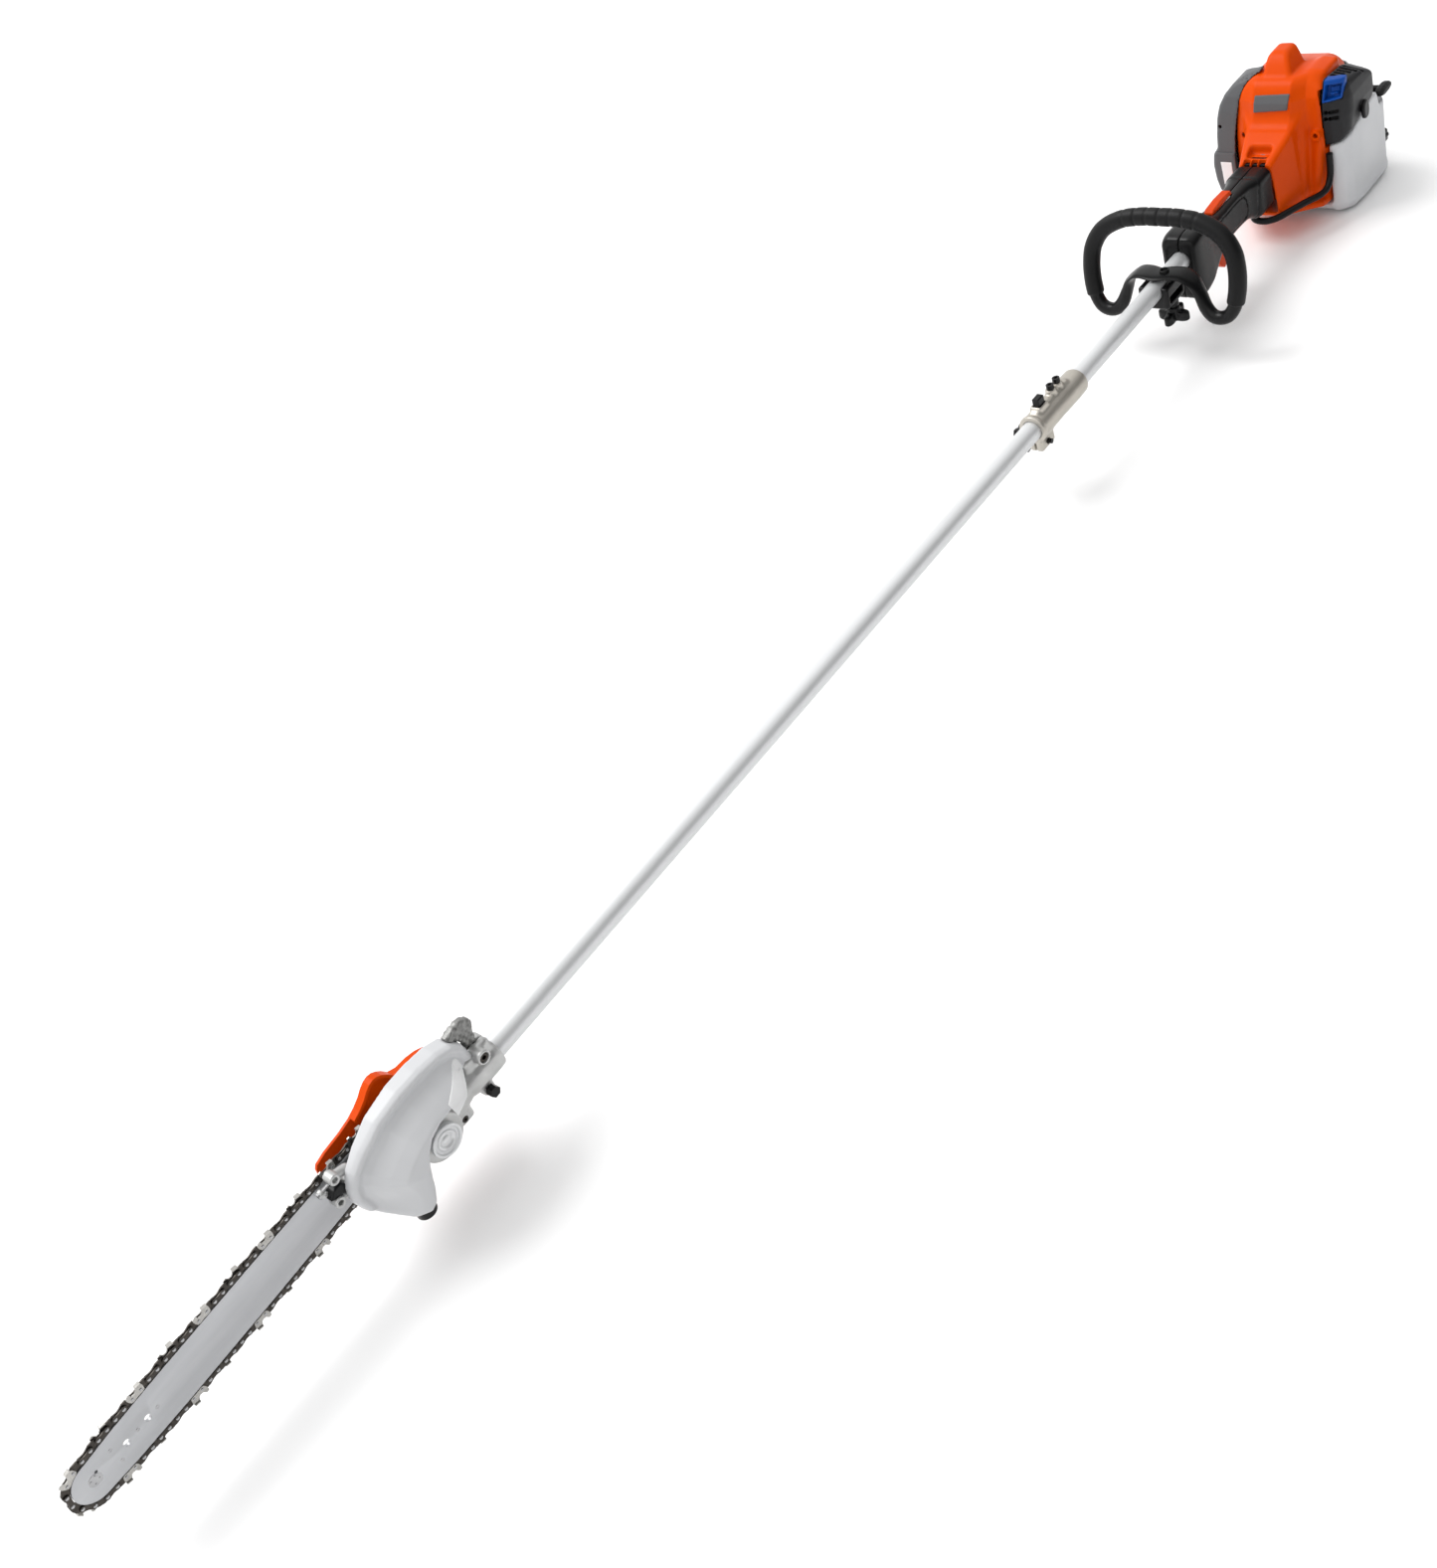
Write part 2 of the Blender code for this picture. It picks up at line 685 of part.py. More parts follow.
# Rows of (x, left y, right y, low z, high z, corner) along the grip.
GRIP_ROWS = (
    (128.5, -26, 26, 76, 133, 0.22),
    (134, -28, 28, 73, 136, 0.22),
    (162, -28, 28, 73, 137, 0.22),
    (172, -26, 26, 77, 137, 0.24),
    (188, -20, 20, 85, 137, 0.28),
    (215, -19, 19, 87, 137, 0.28),
    (245, -19, 19, 87, 138, 0.28),
    (266, -20, 20, 84, 141, 0.28),
    (284, -24, 24, 70, 147, 0.26),
    (300, -27, 27, 58, 151, 0.24),
    (322, -28, 28, 54, 152, 0.22),
    (333, -25, 25, 60, 148, 0.24),
    (337, -21, 21, 70, 142, 0.26),
)


def grip():
    trigger_pivot = (262, 0, 92)
    halves = (("grip_left_shell", 0.15, 60), ("grip_right_shell", -60, -0.15))
    for name, low, high in halves:
        shell = hull_of("x", GRIP_ROWS, 2)
        common(shell, block(100, 360, low, high, 30, 200))
        minus(shell, rod("x", TUBE_HOLE_R, (0, AXIS_Z), 100, 360))
        minus(shell, block(216, 274, -TRIGGER_HALF - CLEAR, TRIGGER_HALF + CLEAR, 60, 104))
        minus(shell, block(202, 259, -LOCKOUT_HALF - CLEAR, LOCKOUT_HALF + CLEAR, 133, 160))
        minus(shell, rod("z", 5.4, (152, 4), 60, 84, 16))
        if name == "grip_right_shell":
            minus(shell, block(293.8, 319, -40, -23.5, 106, 128))
        keep(name, shell, "black_plastic")

    outline = [(267, 96), (267, 88), (262, 80), (254, 70), (246, 58), (240, 53), (236, 55), (236, 62), (230, 78)]
    outline += [(226, 88), (228, 92), (246, 98), (262, 100)]
    trigger = bevelled(prism("y", outline, -TRIGGER_HALF, TRIGGER_HALF), 1.2, 2, 30)
    keep("throttle_trigger", trigger, "orange", trigger_pivot)
    outline = [(204, 138.5), (206, 142.5), (230, 144), (252, 142.5), (256, 139), (256, 136), (252, 135), (204, 136.6)]
    lockout = bevelled(prism("y", outline, -LOCKOUT_HALF, LOCKOUT_HALF), 0.8, 1, 30)
    keep("throttle_lockout", lockout, "orange", (254, 0, 138))
    rocker = bevelled(prism("z", [(294.5, -23.8), (313.5, -23.8), (313.5, -28), (304, -30.5), (294.5, -31)], 106.5, 127.5), 0.8, 1)
    keep("stop_switch", rocker, "orange_dark", (304, -26, 117))

    path = [(152, 4, 82), (152, 4, 68), (145, 6.5, 57), (123, 13, 47), (97, 24, 41.5), (76, 38, 42), (63, 52, 50)]
    path += [(57.5, 63, 62), (56.5, 66.5, 78), (56.5, 67, 96), (56.5, 67, 114)]
    path = spline(path, 2)
    keep("control_cable", swept(path, [(4.5, 4.5)] * len(path), 10), "black_rubber")


def loop_path():
    """Points round the handle from the middle of the bridge, past both legs and over the top."""
    half = [(0, 135.8), (18, 135.4), (32, 132), (43, 122), (50, 107), (57, 91), (66, 81), (77, 79), (88, 84)]
    half += [(96, 98), (99, 117), (99, 139), (94, 161), (79, 181), (54, 193.5), (27, 198), (0, 198.5)]
    other = [(-y, z) for y, z in half[-2:0:-1]]
    points = []
    for y, z in half + other:
        forward = 14 * max(0.0, 1 - abs(y) / 50) if z < 150 else 0.0
        points.append((LOOP_X + forward - LOOP_LEAN * (z - AXIS_Z), y, z))
    return points


def loop():
    path = loop_path()
    closed = spline(path, 2, closed=True)
    band = []
    for x, y, z in closed:
        near = max(0.0, min(1.0, (60 - abs(y)) / 26)) if z < 150 else 0.0
        band.append((CORE_R + near * (15 - CORE_R), CORE_R + near * (3.2 - CORE_R)))
    handle = swept(closed, band, 8, closed=True, first_side=(1, 0, 0))
    keep("loop_handle", handle, "black_plastic")
    sleeve_path = spline(path[9:24], 2)
    radii = [(SLEEVE_R, SLEEVE_R)] * len(sleeve_path)
    radii[0] = radii[-1] = (SLEEVE_R - 0.7, SLEEVE_R - 0.7)
    sleeve = swept(sleeve_path, radii, 8, bore=CORE_R + 0.5, first_side=(1, 0, 0))
    keep("loop_sleeve", sleeve, "black_rubber")

    clamp = bevelled(block(366, 410, -20, 20, 97, 126), 3, 2)
    plus(clamp, rod("z", 8, (378, 6), 84, 98, 16))
    minus(clamp, rod("x", TUBE_HOLE_R, (0, AXIS_Z), 340, 410, 24), rod("z", 3.3, (378, 6), 80, 104.4, 12))
    keep("handle_clamp", clamp, "black_plastic")
    knob = plus(prism("z", rounded(toothed(9, 21, 4, (378, 6), 0.34), 1), 58, 71),
                turned("z", (378, 6), [(70, 0), (70, 8), (80, 7), (83.6, 3), (103, 3), (103, 0)], 14))
    keep("handle_knob", knob, "black_plastic", (378, 6, 70))


def shaft_line():
    centre = (0, AXIS_Z)
    keep("upper_tube", ring("x", centre, TUBE_BORE_R, TUBE_R, *UPPER_TUBE_X, 24), "aluminium")
    keep("lower_tube", ring("x", centre, TUBE_BORE_R, TUBE_R, *LOWER_TUBE_X, 24), "aluminium", (649, 0, AXIS_Z))
    upper = [(80.4, 0), (80.4, DRIVE_R), (645, DRIVE_R), (645, 0)]
    upper[0] = (77.4, 0)
    upper[1] = (77.4, DRIVE_R)
    keep("upper_drive_shaft", turned("x", centre, upper, 16), "steel", (300, 0, AXIS_Z))
    lower = [(651, 0), (651, DRIVE_R), (1733, DRIVE_R), (1733, 0)]
    keep("lower_drive_shaft", turned("x", centre, lower, 16), "steel", (1200, 0, AXIS_Z))

    low, high = COUPLING_X
    profile = [(low, 0), (low, 15.6), (low + 3, COUPLING_R), (high - 4, COUPLING_R), (high, 16), (high, 0)]
    body = turned("x", centre, profile, 20)
    ridge = bevelled(block(618, 692, -8, 8, 131, 144), 2.5, 2)
    foot = bevelled(block(668, 699, -11, 8, 88, 112), 3, 2)
    plus(body, ridge, foot)
    minus(body, rod("x", TUBE_HOLE_R, centre, low - 5, high + 5, 24), block(664, 705, -2.6, -0.2, 80, 109.3))
    minus(body, rod("z", 2.4, (636, 0), 134, 150, 12), rod("z", 2.4, (650, 0), 134, 150, 12))
    minus(body, block(670, 684, -5, 5, 134, 150), rod("y", 3.4, (684, 96), -20, 20, 16))
    keep("coupling_body", body, "champagne")
    for name, x in (("coupling_screw_rear", 636), ("coupling_screw_front", 650)):
        keep(name, cap_screw("z", (x, 0), 4.6, (144.3, 149.5), 2.1, (135, 145)), "black_plastic")
    button = bevelled(block(670.4, 683.6, -4.6, 4.6, 138, 151), 1.2, 1)
    keep("release_button", button, "black_plastic", (677, 0, 138))
    knob = plus(prism("y", lobed(15, 2.2, 6, (684, 96), 24), -32, -18), rod("y", 7, (684, 96), -19, -11.4, 20),
                rod("y", 3, (684, 96), -12, 12.4, 16))
    keep("coupling_knob", knob, "black_plastic", (684, -20, 96))


def rail_height(x):
    """Half of the chain loop's inner height at a station along the bar."""
    for (x0, h0), (x1, h1) in zip(RAIL, RAIL[1:]):
        if x <= x1:
            t = (x - x0) / (x1 - x0)
            t = t * t * (3 - 2 * t) * 0.35 + t * 0.65
            return h0 + (h1 - h0) * t
    return RAIL[-1][1]


def tilted(x, z):
    """A point of the bar turned about the drive sprocket, so that the nose sits slightly low."""
    angle = math.radians(BAR_TILT)
    dx, dz = x - SPROCKET_X, z - AXIS_Z
    return (SPROCKET_X + dx * math.cos(angle) + dz * math.sin(angle), AXIS_Z - dx * math.sin(angle) + dz * math.cos(angle))


def loop_outline(offset, tail_x, steps):
    """The bar's outline or the chain's inner line, offset outwards, from the upper tail round the nose and back."""
    def at(share):
        straight = NOSE_X - tail_x
        nose = math.pi * NOSE_R
        tail_r = rail_height(tail_x)
        tail = math.pi * tail_r
        distance = share * (2 * straight + nose + tail)
        if distance < straight:
            x = tail_x + distance
            return (x, AXIS_Z + rail_height(x) + offset)
        distance -= straight
        if distance < nose:
            angle = math.pi / 2 - distance / NOSE_R
            reach = NOSE_R + offset
            return (NOSE_X + reach * math.cos(angle), AXIS_Z + reach * math.sin(angle))
        distance -= nose
        if distance < straight:
            x = NOSE_X - distance
            return (x, AXIS_Z - rail_height(x) - offset)
        angle = -math.pi / 2 - (distance - straight) / tail_r
        reach = tail_r + offset
        return (tail_x + reach * math.cos(angle), AXIS_Z + reach * math.sin(angle))

    return [tilted(*at(k / steps)) for k in range(steps)]


def bar_and_chain():
    outline = loop_outline(0.0, BAR_TAIL_X + 22, 84)
    bar = prism("y", outline, BAR_Y - BAR_HALF, BAR_Y + BAR_HALF)
    slot = [tilted(STUD_X + x, AXIS_Z + z) for x, z in ((-18, -4.5), (14, -4.5), (14, 4.5), (-18, 4.5))]
    cutter = prism("y", slot, BAR_Y - 5, BAR_Y + 5)
    for x, z, r in ((2072.6, 0, 3.4), (2096.4, 0, 3.4), (2126, 5.7, 1.4)):
        plus(cutter, rod("y", r, tilted(x, AXIS_Z + z), BAR_Y - 5, BAR_Y + 5, 14))
    minus(bar, cutter)
    minus(bar, rod("y", 39.2, tilted(NOSE_X + 16.6, AXIS_Z + 0.7), BAR_Y - 0.75, BAR_Y + 0.75, 24))
    keep("guide_bar", bar, "bar_steel")
    nose = prism("y", toothed(16, 20, 9, tilted(NOSE_X, AXIS_Z), 0.34), BAR_Y - 0.45, BAR_Y + 0.45)
    x, z = tilted(NOSE_X, AXIS_Z)
    keep("nose_sprocket", nose, "steel", (x, BAR_Y, z))

    steps = CHAIN_LINKS * 4
    inner = loop_outline(0.4, SPROCKET_X, steps)
    link = loop_outline(7.2, SPROCKET_X, steps)
    waist = loop_outline(5.2, SPROCKET_X, steps)
    tooth = loop_outline(10.8, SPROCKET_X, steps)
    outer = []
    for k in range(steps):
        part = k % 8
        outer.append(tooth[k] if part in (2, 3) else waist[k] if part == 0 else link[k])
    low, high = BAR_Y - CHAIN_HALF, BAR_Y + CHAIN_HALF
    points = [(x, y, z) for y in (low, high) for x, z in inner + outer]
    faces = []
    for k in range(steps):
        n = (k + 1) % steps
        side = 2 * steps
        faces.append((k, n, steps + n, steps + k))
        faces.append((side + k, side + steps + k, side + steps + n, side + n))
        faces.append((k, side + k, side + n, n))
        faces.append((steps + k, steps + n, side + steps + n, side + steps + k))
    keep("saw_chain", solid(points, faces), "dark_steel")


def saw_head():
    centre = (0, AXIS_Z)
    output = (SPROCKET_X, AXIS_Z)
    profile = [(1662, 0), (1662, 18), (1702, 18), (1714, 24), (1762, 24), (1775, 19), (1779, 10), (1779, 0)]
    casting = turned("x", centre, profile, 24)
    minus(casting, block(1705, 1800, -40, -15.4, 80, 160))
    plus(casting, rod("y", 26, output, -15.0, 26, 24))
    plate = rounded([(1700, 90), (1700, 146), (1738, 149), (1770, 142), (1800, 137), (1832, 137), (1836, 154),
                     (1846, 158), (1856, 150), (1856, 116), (1838, 98), (1806, 84), (1738, 80)], 1)
    plus(casting, prism("y", plate, -25.5, -9), block(1794, 1832, -28.8, -25, 107, 130))
    plus(casting, bevelled(block(1664, 1700, 7, 22, 110, 130), 2.5, 2))
    minus(casting, block(1650, 1701.5, 11, 30, 130.05, 142))
    plus(casting, rod("y", 4, (STUD_X, STUD_Z), -56, -12, 12))
    plus(casting, bevelled(block(1712, 1730, -6, 8, 86, 100), 2.5, 2), rod("y", 7.5, (1690, 101.5), 1.3, 12, 14))
    plus(casting, rod("y", 7, UPPER_EAR, -24, -3, 14), rod("y", 7, LOWER_EAR, -24, -3, 14))
    minus(casting, rod("x", TUBE_HOLE_R, centre, 1650, 1692, 24), rod("x", 5.3, centre, 1690, 1725, 12))
    minus(casting, rod("x", 13.5, centre, 1722, 1756, 16), rod("y", 22, output, -7, 17, 20))
    minus(casting, rod("y", 17, output, 16, 30, 20), rod("y", 6.5, output, -30, 0, 12))
    minus(casting, block(1655, 1702, 9, 40, 119, 121), rod("y", 3, UPPER_EAR, -30, 0, 10))
    minus(casting, rod("y", 3, LOWER_EAR, -30, 0, 10), rod("y", 3.3, (1690, 101.5), 4, 20, 10))
    for x in (1673, 1691):
        minus(casting, rod("z", 3.0, (x, CLAMP_Y), 100, 140, 10))
    minus(casting, rod("x", 2.8, (-17, TENSION_Z), 1846, 1870, 12))
    keep("gear_housing", casting, "cast_metal")

    for name, x in (("clamp_bolt_rear", 1673), ("clamp_bolt_front", 1691)):
        keep(name, cap_screw("z", (x, CLAMP_Y), 4.6, (130.4, 136.0), 2.6, (108, 131)), "dark_steel")
    cap = [(17, 0), (17, 16.6), (26.4, 16.6), (26.4, 19), (30, 19), (30, 14), (33, 13), (33, 0)]
    keep("gearbox_cap", turned("y", output, cap, 24), "cast_metal")
    teeth = [(1733.5, 10.6), (1741.5, 7.0)]
    pinion = loft("x", [(x, toothed(r - 2.0, r, 11, centre)) for x, r in teeth])
    minus(pinion, rod("x", 4.3, centre, 1725, 1733.9, 16))
    keep("pinion_gear", pinion, "steel", (1737, 0, AXIS_Z))
    driven = loft("y", [(y, toothed(r - 2.0, r, 18, output)) for y, r in ((8.0, 13.2), (14.0, 19.0))])
    plus(driven, rod("y", 5, output, -41, 16.4, 24))
    keep("driven_gear", driven, "steel", (SPROCKET_X, 11, AXIS_Z))
    wheel = ring("y", output, 5.3, 13, BAR_Y - 4.6, BAR_Y + 4.6, 28)
    rim = prism("y", toothed(12, SPROCKET_R - 0.6, SPROCKET_TEETH, output, 0.3), BAR_Y - 4.0, BAR_Y + 4.0)
    plus(wheel, minus(rim, rod("y", 6, output, -50, 0, 24)))
    keep("drive_sprocket", wheel, "dark_steel", (SPROCKET_X, BAR_Y, AXIS_Z))

    hook = [(1671, 138.6), (1670, 152), (1668.5, 160), (1664.5, 167), (1666, 174), (1675, 180.5), (1689, 178.5)]
    hook += [(1697, 176.5), (1695, 170), (1689, 165), (1683, 158), (1686, 148), (1688, 138.6)]
    keep("cast_hook", bevelled(prism("y", rounded(hook, 1), -5, 5), 1.6, 2, 30), "cast_metal")
    knob = plus(prism("y", circle(5.9, (1690, 101.5), 6), 13.5, 21), rod("y", 3, (1690, 101.5), 5, 14, 16))
    keep("oil_adjuster", knob, "black_plastic", (1690, 12, 101.5))
    screw = cap_screw("x", (-17, TENSION_Z), 3.6, (1856.3, 1860), 2.5, (1847, 1857))
    keep("tension_screw", screw, "steel", (1856, -17, TENSION_Z))


def saw_covers():
    outline = rounded(
        [(1690, 150), (1692, 170), (1712, 181), (1760, 185), (1790, 177), (1814, 164), (1831, 151), (1842, 135),
         (1843, 118), (1831, 98), (1815, 78), (1798, 73), (1786, 81), (1780, 98), (1775, 116), (1760, 131), (1740, 137),
         (1704, 142)],
        1,
    )
    sections = [(-8.4, shrink(outline, 2)), (-5, outline), (18, outline)]
    for y, inward, drop in ((28, 7, 5), (36, 14, 9), (41, 22, 12), (43, 29, 13)):
        sections.append((y, [(x, z - drop) for x, z in shrink(outline, inward)]))
    shell = loft("y", sections)
    minus(shell, rod("x", 24.8, (0, AXIS_Z), 1640, 1781, 24), rod("y", 27, (SPROCKET_X, AXIS_Z), -12, 26.6, 24))
    minus(shell, rod("y", 21, (SPROCKET_X, AXIS_Z), 20, 60, 24))
    minus(shell, block(1655, 1704, 5, 60, 100, 143), block(1700, 1736, -12, 20, 70, 106))
    minus(shell, rod("y", 8, UPPER_EAR, -12, -2.6, 16), rod("y", 8, LOWER_EAR, -12, -2.6, 16))
    minus(shell, block(1650, 1700, -10, 5.6, 130, 190))
    minus(shell, rod("z", 8.3, (1803, 18), 50, 84, 14))
    keep("oil_tank", shell, "white_plastic")
    cap = plus(prism("z", lobed(11.5, 0.6, 10, (1803, 18), 40), 64, 72), rod("z", 7.6, (1803, 18), 71, 82, 14))
    keep("oil_cap", cap, "black_plastic", (1803, 18, 72))

    outline = rounded(
        [(1694, 92), (1694, 138), (1711, 147), (1736, 149), (1744, 162), (1753, 168), (1763, 166), (1776, 156),
         (1796, 148), (1836, 144), (1842, 136), (1842, 104), (1816, 86), (1730, 82)],
        1,
    )
    cover = prism("y", outline, -49, -26.5)
    minus(cover, prism("y", inset(outline, 3), -46, -10), block(1790, 1900, -46, -10, 78, 170))
    minus(cover, block(1700, 1900, -40, -10, 60, 175), rod("y", 4.4, (STUD_X, STUD_Z), -70, -30, 12))
    minus(cover, block(1690, 1708, -60, -10, 100, 139))
    keep("chain_cover", cover, "orange")
    nut = minus(prism("y", circle(8, (STUD_X, STUD_Z), 6), -55, -49.4), rod("y", 4.3, (STUD_X, STUD_Z), -70, -30, 12))
    keep("bar_nut", nut, "steel", (STUD_X, -51, STUD_Z))


clear_scene()
power_head_shell()
engine_core()
intake_side()
tank_and_starter()
grip()
loop()
shaft_line()
bar_and_chain()
saw_head()
saw_covers()
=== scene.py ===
"""Looks for the petrol pole saw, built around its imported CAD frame.

Shapes are worked in millimetres, with the shaft's axis along X at y 0 and height AXIS_Z. metres() and
skin() turn them into the frame's metres, DATUM lower. +X is towards the bar's nose, and -Y is the tool's
right. Moulded and cast pieces are distance fields that are skinned; the rest is lofted, turned or swept.
"""

import math

import bmesh
import bpy
import numpy as np
from mathutils import Matrix, Vector
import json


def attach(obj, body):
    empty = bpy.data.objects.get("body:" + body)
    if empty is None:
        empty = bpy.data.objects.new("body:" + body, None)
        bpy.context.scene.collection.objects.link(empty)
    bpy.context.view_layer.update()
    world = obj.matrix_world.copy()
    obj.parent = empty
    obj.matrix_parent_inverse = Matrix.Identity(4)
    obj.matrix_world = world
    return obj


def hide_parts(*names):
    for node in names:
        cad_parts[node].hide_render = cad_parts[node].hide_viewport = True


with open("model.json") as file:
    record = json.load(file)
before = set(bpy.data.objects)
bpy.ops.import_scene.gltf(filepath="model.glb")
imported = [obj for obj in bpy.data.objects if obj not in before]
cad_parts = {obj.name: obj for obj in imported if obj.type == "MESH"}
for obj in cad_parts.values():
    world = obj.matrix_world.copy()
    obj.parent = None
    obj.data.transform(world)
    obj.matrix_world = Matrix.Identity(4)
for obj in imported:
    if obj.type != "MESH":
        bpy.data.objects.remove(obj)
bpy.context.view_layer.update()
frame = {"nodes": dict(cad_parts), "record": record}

MM = 0.001
DATUM = 20.0
AXIS_Z = 120.0
TUBE_R = 12.0
TUBE_BORE = 10.6
SLEEVE_R = 12.3  # of a bore that holds the tube
BAR_Y = -31.0
SPROCKET_X = 1755.0
NOSE_X = 2131.0
NOSE_R = 21.0
BAR_TILT = math.radians(1.9)
LINKS = 92  # spaces between rivets round the whole chain
# Half the bar's height at stations along it.
RAIL = ((1755.0, 18.2), (1785.0, 20.5), (1822.0, 22.3), (1870.0, 23.6), (1940.0, 24.3), (2040.0, 24.3),
        (2095.0, 23.3), (2131.0, 21.0))
CLAMP_SCREW = (1681, 143)
LUG_SCREW = (1726, 104)
GEAR_AXIS = (1755, 120)
KNOB_AXIS = (378, 6)


# Camera and light.

CAMERA_PLACE = (
    (-0.5917, -0.6763, 0.4388, 2.0524),
    (0.7435, -0.2474, 0.6212, 1.0486),
    (-0.3116, 0.6938, 0.6493, 1.2019),
    (0, 0, 0, 1),
)


def new_object(name, data):
    obj = bpy.data.objects.new(name, data)
    bpy.context.scene.collection.objects.link(obj)
    return obj


def set_camera():
    data = bpy.data.cameras.new("camera")
    data.sensor_width = 36
    data.lens = 38.81
    data.clip_start = 0.05
    data.clip_end = 60
    camera = new_object("camera", data)
    camera.matrix_world = Matrix(CAMERA_PLACE)
    bpy.context.scene.camera = camera


def sun(name, toward, strength, spread):
    """A distant light that travels along a direction."""
    data = bpy.data.lights.new(name, "SUN")
    data.energy = strength
    data.angle = math.radians(spread)
    light = new_object(name, data)
    light.rotation_mode = "QUATERNION"
    light.rotation_quaternion = Vector(toward).to_track_quat("-Z", "Y")


def set_light():
    """A soft key from above and the tool's right, and a sky that is bright there and dim opposite."""
    world = bpy.data.worlds.new("studio")
    world.use_nodes = True
    nodes, links = world.node_tree.nodes, world.node_tree.links
    direction = nodes.new("ShaderNodeTexCoord")
    toward = nodes.new("ShaderNodeVectorMath")
    toward.operation = "DOT_PRODUCT"
    toward.inputs[1].default_value = (0.10, -0.62, 0.78)
    links.new(direction.outputs["Generated"], toward.inputs[0])
    level = nodes.new("ShaderNodeMapRange")
    level.interpolation_type = "SMOOTHSTEP"
    level.inputs["From Min"].default_value = -0.35
    level.inputs["From Max"].default_value = 0.75
    level.inputs["To Min"].default_value = 0.10
    level.inputs["To Max"].default_value = 1.15
    links.new(toward.outputs["Value"], level.inputs["Value"])
    links.new(level.outputs["Result"], nodes["Background"].inputs["Strength"])
    nodes["Background"].inputs["Color"].default_value = (1, 1, 1, 1)
    bpy.context.scene.world = world
    sun("key", (-0.15, 0.55, -0.85), 1.7, 34)
    sun("fill", (-0.75, -0.35, -0.55), 0.35, 50)
    bpy.context.scene.view_settings.view_transform = "Standard"


def set_floor():
    mesh = bpy.data.meshes.new("floor")
    reach, height = 30.0, -0.002
    corners = [(-reach, -reach), (reach, -reach), (reach, reach), (-reach, reach)]
    mesh.from_pydata([(x, y, height) for x, y in corners], [], [(0, 1, 2, 3)])
    floor = new_object("floor", mesh)
    surface = bpy.data.materials.new("floor")
    surface.use_nodes = True
    shader = surface.node_tree.nodes["Principled BSDF"]
    shader.inputs["Base Color"].default_value = (0.92, 0.92, 0.92, 1)
    shader.inputs["Roughness"].default_value = 0.9
    mesh.materials.append(surface)


# Materials.

SMEAR_TO_PATCH = 4.3
RELIEF_DEPTH = 0.0006
SUBSURFACE_REACH = 0.006


def linear(colour):
    """A display colour of 0 to 255 as the linear one that a shader takes."""
    return [(v / 255 / 12.92) if v / 255 <= 0.04045 else ((v / 255 + 0.055) / 1.055) ** 2.4 for v in colour]


def finish_of(name, light, dark, rough, swing, metallic=0.0, patch=18.0, grain=900.0, bump=0.06,
              stretch=(1, 1, 1), subsurface=0.0, sheen=0.5):
    """A finish whose colour and roughness wander, at scale patch, under a fine relief at scale grain."""
    surface = bpy.data.materials.new(name)
    surface.use_nodes = True
    nodes, links = surface.node_tree.nodes, surface.node_tree.links
    shader = nodes["Principled BSDF"]
    shader.inputs["Metallic"].default_value = metallic
    shader.inputs["Specular IOR Level"].default_value = sheen
    if subsurface:
        shader.inputs["Subsurface Weight"].default_value = subsurface
        shader.inputs["Subsurface Radius"].default_value = (SUBSURFACE_REACH,) * 3
    place = nodes.new("ShaderNodeTexCoord")
    mapping = nodes.new("ShaderNodeMapping")
    mapping.inputs["Scale"].default_value = stretch
    links.new(place.outputs["Object"], mapping.inputs["Vector"])

    def noise(scale, detail):
        texture = nodes.new("ShaderNodeTexNoise")
        texture.inputs["Scale"].default_value = scale
        texture.inputs["Detail"].default_value = detail
        links.new(mapping.outputs["Vector"], texture.inputs["Vector"])
        return texture.outputs["Fac"]

    mix = nodes.new("ShaderNodeMix")
    mix.data_type = "RGBA"
    mix.inputs["A"].default_value = (*linear(dark), 1)
    mix.inputs["B"].default_value = (*linear(light), 1)
    links.new(noise(patch, 6), mix.inputs["Factor"])
    links.new(mix.outputs["Result"], shader.inputs["Base Color"])

    spread = nodes.new("ShaderNodeMapRange")
    spread.inputs["To Min"].default_value = max(rough - swing, 0.04)
    spread.inputs["To Max"].default_value = rough + swing
    links.new(noise(patch * SMEAR_TO_PATCH, 4), spread.inputs["Value"])
    links.new(spread.outputs["Result"], shader.inputs["Roughness"])

    relief = nodes.new("ShaderNodeBump")
    relief.inputs["Strength"].default_value = bump
    relief.inputs["Distance"].default_value = RELIEF_DEPTH
    links.new(noise(grain, 3), relief.inputs["Height"])
    links.new(relief.outputs["Normal"], shader.inputs["Normal"])
    return surface


